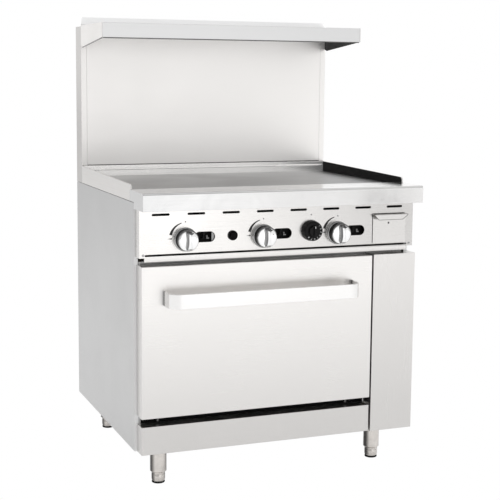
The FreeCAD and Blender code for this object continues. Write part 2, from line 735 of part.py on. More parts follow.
def shelf_bracket():
    """Left end bracket: deepest at the riser, as deep as the shelf's face at the front."""
    outline = [(SHELF_FRONT_Y, SHELF_FACE_BOTTOM), (SHELF_FRONT_Y, SHELF_TOP), (SHELF_BACK_Y, SHELF_TOP),
               (SHELF_BACK_Y, BRACKET_BOTTOM + 6), (RISER_FRONT_Y - 18, BRACKET_BOTTOM)]
    return plate_x(outline, (-HALF, -HALF + BRACKET_PLATE))


# ---- oven door ---------------------------------------------------------------------------
def hinge_slot(x, depth):
    """Space that a hinge bracket sweeps inside the door."""
    half = HINGE_PLATE / 2 + 1.5
    return rod(depth, (x - half, HINGE_Y, HINGE_Z), (x + half, HINGE_Y, HINGE_Z))


def door_outer_panel():
    """Front skin of the door, folded back on all four edges."""
    back_y = -2.0
    fold_radius = 2.5
    panel = tray(DOOR_X, (DOOR_Y, back_y), (DOOR_BOTTOM, DOOR_TOP), SHEET, "back")
    panel = panel.makeFillet(fold_radius, edges_along(panel, X_AXIS, lambda m: m.y < DOOR_Y + 0.1))
    slot_z = (DOOR_BOTTOM - SHEET, DOOR_BOTTOM + 2 * SHEET)
    slots = [box((x - 6, x + 12), (HINGE_Y - 18, 0.0), slot_z) for x in HINGE_X]
    return cut_all(panel, slots)


def door_inner_panel():
    """Inner skin with a raised plug that fills the oven's mouth."""
    inset = 2.0
    front_y = INNER_SKIN_Y
    sweep_radius = 36.5
    sheet = box((DOOR_X[0] + inset, DOOR_X[1] - inset), (front_y, front_y + SHEET),
                (DOOR_BOTTOM + inset, DOOR_TOP - inset))
    plug = tray(PLUG_X, (front_y, PLUG_Y), PLUG_Z, SHEET, "front")
    mouth = box((PLUG_X[0] + SHEET, PLUG_X[1] - SHEET), (front_y - SHEET, front_y + 2 * SHEET),
                (PLUG_Z[0] + SHEET, PLUG_Z[1] - SHEET))
    skin = fused([sheet, plug]).cut(mouth)
    return cut_all(skin, [hinge_slot(x, sweep_radius) for x in HINGE_X])


def door_insulation():
    """Wool block between the two skins, cut away for the hinge arms."""
    inset = SHEET + 0.5
    back_y = INNER_SKIN_Y - 0.5
    block = box((DOOR_X[0] + inset, DOOR_X[1] - inset), (DOOR_Y + inset, back_y),
                (DOOR_BOTTOM + inset, DOOR_TOP - inset))
    plug = box((PLUG_X[0] + inset, PLUG_X[1] - inset), (back_y, PLUG_Y - inset),
               (PLUG_Z[0] + inset, PLUG_Z[1] - inset))
    arm_rooms = [box((x - 8, x + 16), (DOOR_Y, 0.0), (DOOR_BOTTOM, HINGE_ARM_TOP + 5)) for x in HINGE_X]
    return cut_all(fused([block, plug]), arm_rooms)


def handle_outline(inset):
    """Closed outline in X and Y: straight bar with two rounded corners, ending at the door."""
    left = HANDLE_X[0] + inset
    right = HANDLE_X[1] - inset
    front = HANDLE_FRONT_Y + inset
    bend = HANDLE_BEND - inset
    corner = bend * (1 - 2 ** -0.5)
    points = {
        "left_back": Vector(left, DOOR_Y, 0),
        "left_bend": Vector(left, front + bend, 0),
        "left_mid": Vector(left + corner, front + corner, 0),
        "left_front": Vector(left + bend, front, 0),
        "right_front": Vector(right - bend, front, 0),
        "right_mid": Vector(right - corner, front + corner, 0),
        "right_bend": Vector(right, front + bend, 0),
        "right_back": Vector(right, DOOR_Y, 0),
    }
    edges = [
        Part.LineSegment(points["left_back"], points["left_bend"]),
        Part.Arc(points["left_bend"], points["left_mid"], points["left_front"]),
        Part.LineSegment(points["left_front"], points["right_front"]),
        Part.Arc(points["right_front"], points["right_mid"], points["right_bend"]),
        Part.LineSegment(points["right_bend"], points["right_back"]),
        Part.LineSegment(points["right_back"], points["left_back"]),
    ]
    return Part.Face(Part.Wire([edge.toShape() for edge in edges]))


def door_handle():
    """Wide flat band, bent back to the door at both ends."""
    band = handle_outline(0).cut(handle_outline(HANDLE_BAND))
    handle = band.extrude(Vector(0, 0, HANDLE_Z[1] - HANDLE_Z[0]))
    handle.translate(Vector(0, 0, HANDLE_Z[0]))
    long_edges = edges_along(handle, X_AXIS, lambda m: m.y < HANDLE_FRONT_Y + HANDLE_BAND + 1)
    edge_radius = 1.6
    return handle.makeFillet(edge_radius, [edge for edge in long_edges if edge.Length > 2 * HANDLE_BEND])


def hinge_receivers():
    """Two brackets on the oven front; each carries one end of a hinge pin."""
    brackets = []
    ear_radius = 12.0
    foot_drop = 28.0
    back_y = 0.3
    outline = [(HINGE_Y, HINGE_Z - ear_radius), (HINGE_Y + 11, HINGE_Z - 14),
               (HINGE_Y + 14, HINGE_Z - foot_drop), (back_y, HINGE_Z - foot_drop),
               (back_y, HINGE_Z + 6), (HINGE_Y, HINGE_Z + 6)]
    for x in HINGE_X:
        span = (x - HINGE_PLATE / 2, x + HINGE_PLATE / 2)
        ear = rod(ear_radius, (span[0], HINGE_Y, HINGE_Z), (span[1], HINGE_Y, HINGE_Z))
        arm = plate_x(outline, span)
        hole = rod(HINGE_PIN_RADIUS + RUNNING_FIT, (span[0] - 1, HINGE_Y, HINGE_Z),
                   (span[1] + 1, HINGE_Y, HINGE_Z))
        brackets.append(fused([ear, arm]).cut(hole))
    return brackets


def hinge_arms():
    """Door side of each hinge: an upright arm with the pin that turns in the bracket."""
    arms = []
    ear_radius = 11.0
    half_width = 9.0
    tab_z = (HINGE_ARM_TOP - 48, HINGE_ARM_TOP - 4)
    for x in HINGE_X:
        near = x + HINGE_PLATE / 2 + CLEAR
        span = (near, near + HINGE_PLATE)
        ear = rod(ear_radius, (span[0], HINGE_Y, HINGE_Z + 3), (span[1], HINGE_Y, HINGE_Z + 3))
        arm = box(span, (HINGE_Y - half_width, HINGE_Y + half_width), (HINGE_Z, HINGE_ARM_TOP))
        tab = box((span[0] - 6, span[1]), (HINGE_Y + half_width, INNER_SKIN_Y - TOUCH), tab_z)
        pin = rod(HINGE_PIN_RADIUS, (x - HINGE_PLATE / 2 - CLEAR, HINGE_Y, HINGE_Z),
                  (span[1], HINGE_Y, HINGE_Z))
        arms.append(fused([ear, arm, tab, pin]))
    return arms


# ---- controls ----------------------------------------------------------------------------
def knob_bezels():
    """Dished rings round the three burner knobs."""
    rings = []
    front_y = PANEL_Y - 7.0
    rim_radius = 3.0
    dish_depth = 5.0
    dish_floor_radius = 20.0
    hole_radius = 12.0
    for x in KNOB_X.values():
        ring = rod(BEZEL_RADIUS, (x, front_y, CONTROL_Z), (x, PANEL_Y - 0.1, CONTROL_Z))
        rim = [edge for edge in ring.Edges if edge.BoundBox.YMax < front_y + 1]
        ring = ring.makeFillet(rim_radius, rim)
        dish = Part.makeCone(KNOB_RADIUS, dish_floor_radius, dish_depth,
                             Vector(x, front_y, CONTROL_Z), Y_AXIS)
        hole = rod(hole_radius, (x, front_y - 1, CONTROL_Z), (x, PANEL_Y, CONTROL_Z))
        rings.append(cut_all(ring, [dish, hole]))
    return rings


def burner_knob(x):
    """Round knob with a raised grip bar, on the valve stem that it turns."""
    back = PANEL_Y - 9.0
    face = back - 23.0
    front = face - 17.0
    face_radius = 2.5
    grip_half = 8.0
    grip_reach = 28.0
    grip_radius = 4.0
    boss_radius = 9.0
    boss_length = 5.0
    skirt = rod(KNOB_RADIUS, (x, face, CONTROL_Z), (x, back, CONTROL_Z))
    skirt = skirt.makeFillet(face_radius, [edge for edge in skirt.Edges if edge.BoundBox.YMax < face + 1])
    grip = box((x - grip_half, x + grip_half), (front, face + 1),
               (CONTROL_Z - grip_reach, CONTROL_Z + grip_reach))
    grip = grip.makeFillet(grip_radius, edges_along(grip, Z_AXIS, lambda m: m.y < front + 1))
    boss = rod(boss_radius, (x, back, CONTROL_Z), (x, back + boss_length, CONTROL_Z))
    stem = rod(STEM_RADIUS, (x, back, CONTROL_Z), (x, STEM_END_Y, CONTROL_Z))
    return fused([skirt, grip, boss, stem])


def thermostat_knob():
    """Black dial: numbered skirt, fluted grip and its stem."""
    back = PANEL_Y - 1.5
    face = back - 20.0
    skirt_radii = (32.5, 29.5)
    grip_radius = 19.0
    grip_front = face - 9.0
    bar_front = face - 14.0
    bar_half = 5.0
    bar_reach = 18.0
    skirt = Part.makeCone(*skirt_radii, back - face, Vector(DIAL_X, back, DIAL_Z), -Y_AXIS)
    grip = rod(grip_radius, (DIAL_X, grip_front, DIAL_Z), (DIAL_X, face + 1, DIAL_Z))
    bar = box((DIAL_X - bar_half, DIAL_X + bar_half), (bar_front, face + 1),
              (DIAL_Z - bar_reach, DIAL_Z + bar_reach))
    stem = rod(STEM_RADIUS, (DIAL_X, back, DIAL_Z), (DIAL_X, STEM_END_Y, DIAL_Z))
    return fused([skirt, grip, bar, stem])


def igniter_housing():
    """Ring and barrel of the push-button spark igniter."""
    ring_radius = 15.2
    ring_front = PANEL_Y - 4.0
    barrel_end = 12.0
    bore_end = 4.0
    ring = rod(ring_radius, (IGNITER_X, ring_front, IGNITER_Z), (IGNITER_X, PANEL_Y - 0.1, IGNITER_Z))
    barrel = rod(BARREL_RADIUS, (IGNITER_X, PANEL_Y - 2, IGNITER_Z), (IGNITER_X, barrel_end, IGNITER_Z))
    bore = rod(BUTTON_RADIUS + 0.4, (IGNITER_X, ring_front - 1, IGNITER_Z), (IGNITER_X, bore_end, IGNITER_Z))
    return fused([ring, barrel]).cut(bore)


def igniter_button():
    """Push button: it travels into its barrel."""
    front_y = PANEL_Y - 9.0
    back_y = -12.0
    edge_radius = 1.5
    button = rod(BUTTON_RADIUS, (IGNITER_X, front_y, IGNITER_Z), (IGNITER_X, back_y, IGNITER_Z))
    front = [edge for edge in button.Edges if edge.BoundBox.YMax < front_y + 1]
    return button.makeFillet(edge_radius, front)


# ---- grease drawer -----------------------------------------------------------------------
def grease_drawer():
    """Tray behind a front plate that covers the right and lower edges of the opening.

    The plate's top edge is folded into a finger pull.
    """
    plate_y = (PANEL_Y - 1.5, PANEL_Y - 0.3)
    overlap = 5.0
    body_gap = 3.0
    body_top = 800.0
    pull_x = (DRAWER_X[0] - 1, DRAWER_X[1] + 7)
    pull_y = PANEL_Y - 16
    pull_bottom = DRAWER_Z[1] - 17
    pull_radius = 2.5
    hole_z = 792.0
    hole_radius = 2.5
    body_x = (DRAWER_X[0] + body_gap, DRAWER_X[1] - body_gap)
    plate = box((DRAWER_X[0], DRAWER_X[1] + overlap), plate_y, (DRAWER_Z[0] - overlap, DRAWER_Z[1]))
    body = tray(body_x, (plate_y[0], DRAWER_BACK_Y), (DRAWER_Z[0] + 2, body_top), SHEET, "top")
    top = box(pull_x, (pull_y, plate_y[1]), (DRAWER_Z[1] - SHEET, DRAWER_Z[1]))
    corners = [(pull_x[0], DRAWER_Z[1]), (pull_x[1], DRAWER_Z[1]),
               (pull_x[1] - 20, pull_bottom), (pull_x[0] + 14, pull_bottom)]
    outline = [Vector(x, pull_y, z) for x, z in corners + corners[:1]]
    lip = Part.Face(Part.makePolygon(outline)).extrude(Vector(0, SHEET, 0))
    hole = rod(hole_radius, (SPOUT_X, plate_y[0] - 1, hole_z), (SPOUT_X, plate_y[1] + 1, hole_z))
    drawer = fused([plate, body, top, lip]).cut(hole)
    bend = edges_along(drawer, X_AXIS, lambda m: m.y < pull_y + 0.1 and m.z > DRAWER_Z[1] - 0.1)
    return drawer.makeFillet(pull_radius, bend)


def drawer_housing():
    """Guide channel that the grease drawer runs in."""
    top = 806.0
    front_y = PANEL_Y + SHEET + 0.5
    channel = tray(DRAWER_X, (front_y, DRAWER_BACK_Y + 20), (DRAWER_Z[0] - 0.5, top), SHEET, "top")
    inside_x = (DRAWER_X[0] + SHEET, DRAWER_X[1] - SHEET)
    front = box(inside_x, (PANEL_Y, front_y + 2), (DRAWER_Z[0] + 1, top + 1))
    return channel.cut(front)


# ---- writing -----------------------------------------------------------------------------
def save(node, shape):
    """Write one node; a list of separate solids is written as a group."""
    solids = Part.makeCompound(shape) if isinstance(shape, list) else shape
    solids.translate(Vector(0, -CENTRE_Y, 0))
    solids.exportStep("parts/" + node + ".step")


def main():
    os.makedirs("parts", exist_ok=True)
    left_side = side_panel()
    left_splash = splash_side()
    left_bracket = shelf_bracket()
    nodes = {
        "side_panel_left": left_side,
        "side_panel_right": mirrored(left_side),
        "back_panel": back_panel(),
        "base_frame": base_frame(),
        "leg_tubes": leg_tubes(),
        "kick_panel": kick_panel(),
        "pilaster_cover": pilaster_cover(),
        "control_panel": control_panel(),
        "panel_trim": panel_trim(),
        "panel_screws": panel_screws(),
        "front_rim": front_rim(),
        "griddle_plate": griddle_plate(),
        "splash_left": left_splash,
        "splash_right": mirrored(left_splash),
        "splash_rear": splash_rear(),
        "grease_trough": grease_trough(),
        "griddle_burners": griddle_burners(),
        "burner_supports": burner_supports(),
        "griddle_pilots": griddle_pilots(),
        "gas_manifold": gas_manifold(),
        "griddle_valves": griddle_valves(),
        "thermostat_valve": thermostat_valve(),
        "thermostat_bulb": thermostat_bulb(),
        "pressure_regulator": pressure_regulator(),
        "gas_inlet_pipe": gas_inlet_pipe(),
        "oven_gas_pipe": oven_gas_pipe(),
        "oven_front_frame": oven_front_frame(),
        "oven_liner": oven_liner(),
        "oven_floor": oven_floor(),
        "oven_insulation": oven_insulation(),
        "rack_guides": rack_guides(),
        "oven_rack": oven_rack(),
        "oven_burner": oven_burner(),
        "riser_back": riser_back(),
        "riser_front": riser_front(),
        "flue_cap": flue_cap(),
        "high_shelf": high_shelf(),
        "shelf_bracket_left": left_bracket,
        "shelf_bracket_right": mirrored(left_bracket),
        "hinge_receivers": hinge_receivers(),
        "hinge_arms": hinge_arms(),
        "door_outer_panel": door_outer_panel(),
        "door_inner_panel": door_inner_panel(),
        "door_insulation": door_insulation(),
        "door_handle": door_handle(),
        "knob_bezels": knob_bezels(),
        "thermostat_knob": thermostat_knob(),
        "igniter_housing": igniter_housing(),
        "igniter_button": igniter_button(),
        "grease_drawer": grease_drawer(),
        "drawer_housing": drawer_housing(),
    }
    for side, x in KNOB_X.items():
        nodes["knob_" + side] = burner_knob(x)
    for row, y in LEG_Y.items():
        for side, x in zip(("left", "right"), LEG_X):
            nodes["foot_" + row + "_" + side] = foot(x, y)
    for node, shape in nodes.items():
        save(node, shape)


main()
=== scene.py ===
"""Looks of a gas range: griddle top, oven, riser and high shelf, built around its CAD frame."""
import math

import bmesh
import bpy
from mathutils import Matrix, Vector


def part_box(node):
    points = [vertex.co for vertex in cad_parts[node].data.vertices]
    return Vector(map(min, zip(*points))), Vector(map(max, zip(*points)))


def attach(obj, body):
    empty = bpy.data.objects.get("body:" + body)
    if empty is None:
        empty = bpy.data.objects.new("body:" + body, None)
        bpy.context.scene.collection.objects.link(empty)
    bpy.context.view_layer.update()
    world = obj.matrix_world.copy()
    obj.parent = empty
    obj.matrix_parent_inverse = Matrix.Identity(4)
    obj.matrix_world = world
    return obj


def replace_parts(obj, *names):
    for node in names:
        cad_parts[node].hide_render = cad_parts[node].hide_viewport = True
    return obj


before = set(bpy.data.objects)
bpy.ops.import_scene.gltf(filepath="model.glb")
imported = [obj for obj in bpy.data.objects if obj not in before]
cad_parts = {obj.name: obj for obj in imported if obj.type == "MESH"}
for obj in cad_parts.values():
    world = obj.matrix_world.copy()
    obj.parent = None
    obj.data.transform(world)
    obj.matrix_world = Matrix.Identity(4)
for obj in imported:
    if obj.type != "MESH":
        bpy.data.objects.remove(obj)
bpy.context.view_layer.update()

MM = 0.001

# ---- places taken from the frame (metres) ------------------------------------------------
PANEL_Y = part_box("control_panel")[0][1]
BACK_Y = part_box("back_panel")[1][1]
HANDLE_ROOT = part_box("door_handle")[1][1]
KNOBS = ("knob_left", "knob_centre", "knob_right")
FEET = ("foot_front_left", "foot_front_right", "foot_rear_left", "foot_rear_right")


def middle(node):
    """Centre of a node's box."""
    low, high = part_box(node)
    return [(low[axis] + high[axis]) / 2 for axis in range(3)]


# ---- camera ------------------------------------------------------------------------------
CAMERA_PLACE = (-1.4016, -3.6367, 1.2541)
CAMERA_YAW = math.radians(-21.229)
CAMERA_PITCH = math.radians(-7.267)
CAMERA_ROLL = math.radians(0.489)
CAMERA_LENS = 84.97        # mm, on a sensor of the width below
CAMERA_SENSOR = 36.0
CAMERA_SHIFT = (0.01, -0.05)


def make_camera():
    """Camera that looks a little down at the range, from its left."""
    data = bpy.data.cameras.new("camera")
    data.lens = CAMERA_LENS
    data.sensor_width = CAMERA_SENSOR
    data.shift_x, data.shift_y = CAMERA_SHIFT
    camera = bpy.data.objects.new("camera", data)
    bpy.context.collection.objects.link(camera)
    turn = Matrix.Rotation(CAMERA_YAW, 4, "Z") @ Matrix.Rotation(math.pi / 2 + CAMERA_PITCH, 4, "X")
    camera.matrix_world = Matrix.Translation(CAMERA_PLACE) @ turn @ Matrix.Rotation(CAMERA_ROLL, 4, "Z")
    bpy.context.scene.camera = camera


# ---- shader graphs -----------------------------------------------------------------------
MATERIALS = {}
SHARP_ANGLE = math.radians(38)
BEVEL_SAMPLES = 4


class Graph:
    """One material and short ways to add nodes to it."""

    def __init__(self, name):
        self.name = name
        self.material = bpy.data.materials.new(name)
        self.material.use_nodes = True
        self.tree = self.material.node_tree
        self.shader = self.tree.nodes["Principled BSDF"]
        self.coordinates = self.add("TexCoord").outputs["Object"]

    def add(self, kind, inputs=None, **settings):
        """Add a node; an input is a plain value or another node's output."""
        node = self.tree.nodes.new("ShaderNode" + kind)
        for key, value in settings.items():
            setattr(node, key, value)
        for key, value in (inputs or {}).items():
            self.feed(node.inputs[key], value)
        return node

    def feed(self, socket, value):
        """Link an output to a socket, or set its plain value."""
        if isinstance(value, bpy.types.NodeSocket):
            self.tree.links.new(value, socket)
        else:
            socket.default_value = value

    def noise(self, scale, detail=3.0, roughness=0.5, distortion=0.0):
        """Noise in object space; scale is per axis, in cycles per metre."""
        place = self.add("Mapping", {"Vector": self.coordinates, "Scale": scale})
        noise = self.add("TexNoise", {"Vector": place.outputs[0], "Scale": 1.0, "Detail": detail,
                                      "Roughness": roughness, "Distortion": distortion})
        return noise.outputs["Fac"]

    def cells(self, scale, output="Distance"):
        """Cell pattern in object space, with as many cells per metre as the scale."""
        place = self.add("Mapping", {"Vector": self.coordinates, "Scale": (scale,) * 3})
        cells = self.add("TexVoronoi", {"Vector": place.outputs[0], "Scale": 1.0})
        return cells.outputs[output]

    def spread(self, value, low, high, start=0.3, stop=0.7):
        """Map a factor from start..stop to low..high."""
        node = self.add("MapRange", {"Value": value, "From Min": start, "From Max": stop,
                                     "To Min": low, "To Max": high})
        return node.outputs["Result"]

    def math(self, operation, a, b):
        """Combine two factors."""
        return self.add("Math", {0: a, 1: b}, operation=operation).outputs[0]

    def mix(self, factor, a, b):
        """Mix two colours."""
        node = self.add("Mix", data_type="RGBA")
        for index, value in ((0, factor), (6, a), (7, b)):
            self.feed(node.inputs[index], value)
        return node.outputs[2]

    def bump(self, height, strength, distance, normal=None):
        """Normal with small relief from a height factor."""
        inputs = {"Height": height, "Strength": strength, "Distance": distance}
        if normal:
            inputs["Normal"] = normal
        return self.add("Bump", inputs).outputs["Normal"]

    def axis(self, name):
        """One object-space coordinate, in metres."""
        return self.add("SeparateXYZ", {0: self.coordinates}).outputs["xyz".index(name)]

    def along(self, name, start, stop):
        """Factor that runs from 0 to 1 between two places on an axis."""
        return self.spread(self.axis(name), 0.0, 1.0, start, stop)

    def facing(self, name):
        """One component of the object-space normal."""
        normal = self.add("TexCoord").outputs["Normal"]
        return self.add("SeparateXYZ", {0: normal}).outputs["xyz".index(name)]

    def sideways(self, start, stop, most=1.0):
        """Factor that grows to its most as a face turns to look along X, either way."""
        return self.spread(self.math("ABSOLUTE", self.facing("x"), 0.0), 0.0, most, start, stop)

    def soft_edges(self, radius=0.8 * MM):
        """Normal with the edges rounded by a small radius."""
        return self.add("Bevel", {"Radius": radius}, samples=BEVEL_SAMPLES).outputs["Normal"]

    def finish(self, **inputs):
        """Feed the shader and keep the material under its name."""
        for key, value in inputs.items():
            self.feed(self.shader.inputs[key.replace("_", " ").title()], value)
        MATERIALS[self.name] = self.material


def grey(value, tint=0.0):
    """Grey colour; a positive tint is warmer, a negative one cooler."""
    return (value * (1 + tint), value, value * (1 - tint), 1.0)


def grain_scale(grain, across, along):
    """Noise scale for lines that run along one axis: cycles per metre across and along them."""
    return [along if axis == grain else across for axis in "xyz"]


BRUSH_LINES = (900.0, 4.0)      # cycles per metre across and along the grain
BRUSH_BANDS = (140.0, 1.2)
BAND_SHARE = 0.3                # how much of the grain is wide bands


def brushed_steel(name, grain, light, dark, roughness=0.30, tint=0.02, bump=0.04, smudge=0.03,
                  painted_flank_shade=1.0, glow=0.0, front_glow=0.0, painted_shade_fade=None):
    """Sheet steel with a brushed grain along one axis, faint bands and handling marks.

    flank is painted shade, the tone of the faces that look sideways; fade is painted shade that darkens
    the sheet along an axis: (axis, start, stop, darkest factor); glow is painted light, an even glow that
    stands for light from nearby boards, front_glow the same on faces that look forwards.
    """
    graph = Graph(name)
    lines = graph.noise(grain_scale(grain, *BRUSH_LINES), detail=4.0, roughness=0.6)
    bands = graph.noise(grain_scale(grain, *BRUSH_BANDS), detail=3.0)
    marks = graph.noise((5.0, 5.0, 5.0), detail=5.0, roughness=0.62, distortion=0.6)
    brushing = graph.add("Mix", {0: BAND_SHARE, 2: lines, 3: bands}).outputs[0]
    colour = graph.mix(graph.spread(brushing, 0.0, 1.0), grey(dark, tint), grey(light, tint))
    # painted shade: the sheet is darker along an axis
    if painted_shade_fade:
        axis, start, stop, darkest = painted_shade_fade
        colour = graph.mix(graph.along(axis, start, stop), colour, grey(dark * darkest, tint))
    # painted shade: faces that look sideways are darker
    if painted_flank_shade < 1.0:
        colour = graph.mix(graph.sideways(0.80, 0.98), colour, grey(dark * painted_flank_shade, tint))
    rough = graph.math("ADD", graph.spread(brushing, roughness - 0.04, roughness + 0.04),
                       graph.spread(marks, -smudge, smudge))
    normal = graph.bump(lines, bump, 0.25 * MM, graph.soft_edges())
    # painted light: an even glow, stronger on faces that look forwards
    if front_glow:
        glow = graph.spread(graph.facing("y"), glow + front_glow, glow, -0.9, -0.5)
    graph.finish(base_color=colour, metallic=1.0, roughness=rough, normal=normal,
                 emission_color=grey(1.0), emission_strength=glow)


def polished_steel(name, painted_shade_fade, light, roughness, left_face_shade):
    """Smooth bright steel with faint polishing swirls.

    left_face_shade is painted shade, the tone of what faces left; fade is painted shade along an axis, as in
    brushed_steel.
    """
    graph = Graph(name)
    haze = graph.noise((9.0, 9.0, 9.0), detail=6.0, roughness=0.6, distortion=1.2)
    lines = graph.noise(grain_scale("x", 700.0, 6.0), detail=3.0)
    colour = graph.mix(graph.spread(haze, 0.0, 1.0), grey(light - 0.03, 0.01), grey(light, 0.01))
    # painted shade: faces that look left are darker
    left = graph.spread(graph.facing("x"), 1.0, 0.0, -0.99, -0.90)
    colour = graph.mix(left, colour, grey(light * left_face_shade))
    # painted shade: the steel is darker along an axis
    axis, start, stop, darkest = painted_shade_fade
    colour = graph.mix(graph.along(axis, start, stop), colour, grey(light * darkest))
    rough = graph.math("ADD", graph.spread(haze, roughness - 0.04, roughness + 0.05),
                       graph.spread(lines, -0.02, 0.02))
    normal = graph.bump(lines, 0.03, 0.2 * MM, graph.soft_edges(1.2 * MM))
    graph.finish(base_color=colour, metallic=1.0, roughness=rough, normal=normal)


def turned_metal(name, colour, roughness=0.22, ring_axis="z", painted_flank_shade=1.0):
    """Machined bar or cast metal: fine rings across one axis, small pits, and painted shade on flanks that
    turn sideways.
    """
    graph = Graph(name)
    rings = graph.noise(grain_scale(ring_axis, 30.0, 1800.0), detail=2.0)
    haze = graph.noise((45.0, 45.0, 45.0), detail=5.0, roughness=0.6)
    darker = tuple(channel * 0.82 for channel in colour[:3]) + (1.0,)
    mixed = graph.mix(graph.spread(haze, 0.0, 1.0), darker, colour)
    # painted shade: faces that look sideways along X are darker
    if painted_flank_shade < 1.0:
        shade = tuple(channel * painted_flank_shade for channel in colour[:3]) + (1.0,)
        mixed = graph.mix(graph.sideways(0.66, 0.94), mixed, shade)
    rough = graph.math("ADD", graph.spread(rings, roughness - 0.05, roughness + 0.05),
                       graph.spread(haze, -0.04, 0.05))
    normal = graph.bump(rings, 0.08, 0.1 * MM, graph.soft_edges(0.5 * MM))
    graph.finish(base_color=mixed, metallic=1.0, roughness=rough, normal=normal)


def griddle_steel(name):
    """Ground mild steel plate: grinding lines, oil haze, a faint straw tint, and painted light that makes it
    brighter at its right.
    """
    graph = Graph(name)
    lines = graph.noise(grain_scale("x", 520.0, 3.0), detail=4.0, roughness=0.65)
    haze = graph.noise((3.2, 4.2, 4.0), detail=5.0, roughness=0.58, distortion=0.8)
    tint = graph.noise((1.8, 2.4, 2.0), detail=2.0)
    ground = graph.mix(graph.spread(lines, 0.0, 1.0), grey(0.36, 0.005), grey(0.415, 0.005))
    straw = graph.mix(graph.spread(tint, 0.0, 0.4, 0.5, 0.75), ground, (0.42, 0.40, 0.365, 1.0))
    colour = graph.mix(graph.spread(haze, 0.0, 0.2), straw, grey(0.40))
    # painted light: the plate is brighter towards its right
    colour = graph.mix(graph.along("x", 0.0, 0.36), colour, grey(0.52))
    rough = graph.math("ADD", graph.spread(lines, 0.30, 0.40), graph.spread(haze, -0.05, 0.07))
    normal = graph.bump(lines, 0.12, 0.2 * MM, graph.soft_edges())
    graph.finish(base_color=colour, metallic=1.0, roughness=rough, normal=normal)


def steel_with_shaded_inside(name, inner_sign, steel, shade_tone=0.014):
    """Steel, with painted shade on the face that looks along inner_sign in X: that face is matt and near
    black in place of a dark reflection; 0 has none.
    """
    graph = Graph(name)
    grain = graph.noise(grain_scale("y", *BRUSH_LINES), detail=4.0, roughness=0.6)
    blotches = graph.noise((14.0, 14.0, 30.0), detail=6.0, roughness=0.65)
    colour = graph.mix(graph.spread(grain, 0.0, 1.0), grey(steel * 0.95, 0.02), grey(steel, 0.02))
    rough = graph.spread(blotches, 0.34, 0.42)
    metal = 1.0
    if inner_sign:
        # painted shade: the face that looks inward is drawn matt and near black
        inner = graph.math("GREATER_THAN", graph.math("MULTIPLY", graph.facing("x"), inner_sign), 0.6)
        painted_shade_colour = graph.mix(graph.spread(blotches, 0.0, 1.0), grey(shade_tone * 0.75), grey(shade_tone * 1.3))
        colour = graph.mix(inner, colour, painted_shade_colour)
        rough = graph.math("ADD", rough, graph.math("MULTIPLY", inner, 0.12))
        metal = graph.math("SUBTRACT", 1.0, inner)
    graph.shader.inputs["Specular IOR Level"].default_value = 0.04
    normal = graph.bump(grain, 0.04, 0.2 * MM, graph.soft_edges())
    graph.finish(base_color=colour, metallic=metal, roughness=rough, normal=normal)


def galvanised(name):
    """Zinc coated sheet with large dull crystals."""
    graph = Graph(name)
    crystals = graph.cells(70.0, output="Color")
    shade = graph.add("SeparateColor", {0: crystals}).outputs[0]
    haze = graph.noise((30.0, 30.0, 30.0), detail=5.0)
    colour = graph.mix(graph.spread(shade, 0.0, 1.0, 0.0, 1.0), grey(0.42, -0.02), grey(0.60, -0.01))
    rough = graph.math("ADD", graph.spread(shade, 0.36, 0.56, 0.0, 1.0), graph.spread(haze, -0.05, 0.05))
    graph.finish(base_color=colour, metallic=1.0, roughness=rough,
                 normal=graph.bump(haze, 0.1, 0.2 * MM, graph.soft_edges()))


def enamel(name):
    """Vitreous enamel: dark, glossy, with pale specks and a slight orange peel."""
    graph = Graph(name)
    specks = graph.spread(graph.cells(420.0), 1.0, 0.0, 0.08, 0.16)
    choose = graph.spread(graph.noise((160.0,) * 3, detail=1.0), 0.0, 1.0, 0.52, 0.60)
    peel = graph.noise((220.0,) * 3, detail=2.0)
    colour = graph.mix(graph.math("MULTIPLY", specks, choose), grey(0.02, -0.15), grey(0.35, -0.05))
    graph.shader.inputs["Coat Weight"].default_value = 0.6
    graph.shader.inputs["Coat Roughness"].default_value = 0.08
    rough = graph.spread(peel, 0.22, 0.34)
    graph.finish(base_color=colour, roughness=rough,
                 normal=graph.bump(peel, 0.12, 0.15 * MM, graph.soft_edges()))


SURROUND_TOP = (0.684, 0.700)   # height where the front frame turns from black to bare steel
SURROUND_LEFT = -0.438          # its left edge is bare up to here


def oven_surround(name):
    """Front frame of the oven: black below, bare steel along its top and its left edge."""
    graph = Graph(name)
    top = graph.along("z", *SURROUND_TOP)
    left = graph.math("LESS_THAN", graph.axis("x"), SURROUND_LEFT)
    bare = graph.math("MAXIMUM", top, left)
    grain = graph.noise(grain_scale("x", *BRUSH_LINES), detail=4.0)
    steel = graph.mix(graph.spread(grain, 0.0, 1.0), grey(0.44), grey(0.54))
    black = graph.mix(graph.spread(grain, 0.0, 1.0), grey(0.004), grey(0.008))
    graph.shader.inputs["Specular IOR Level"].default_value = 0.04
    graph.finish(base_color=graph.mix(bare, black, steel), metallic=bare,
                 roughness=graph.spread(grain, 0.32, 0.42), normal=graph.soft_edges())


def cast_iron(name, base=0.06, rust=0.25, metallic=0.5):
    """Rough dark iron with thin rust in patches."""
    graph = Graph(name)
    grit = graph.noise((600.0,) * 3, detail=6.0, roughness=0.7)
    patches = graph.noise((28.0,) * 3, detail=5.0, roughness=0.6)
    iron = graph.mix(graph.spread(grit, 0.0, 1.0), grey(base * 0.6), grey(base * 1.4))
    colour = graph.mix(graph.spread(patches, 0.0, rust, 0.5, 0.7), iron, (0.16, 0.075, 0.04, 1.0))
    graph.finish(base_color=colour, metallic=metallic, roughness=graph.spread(grit, 0.55, 0.8),
                 normal=graph.bump(grit, 0.35, 0.3 * MM))


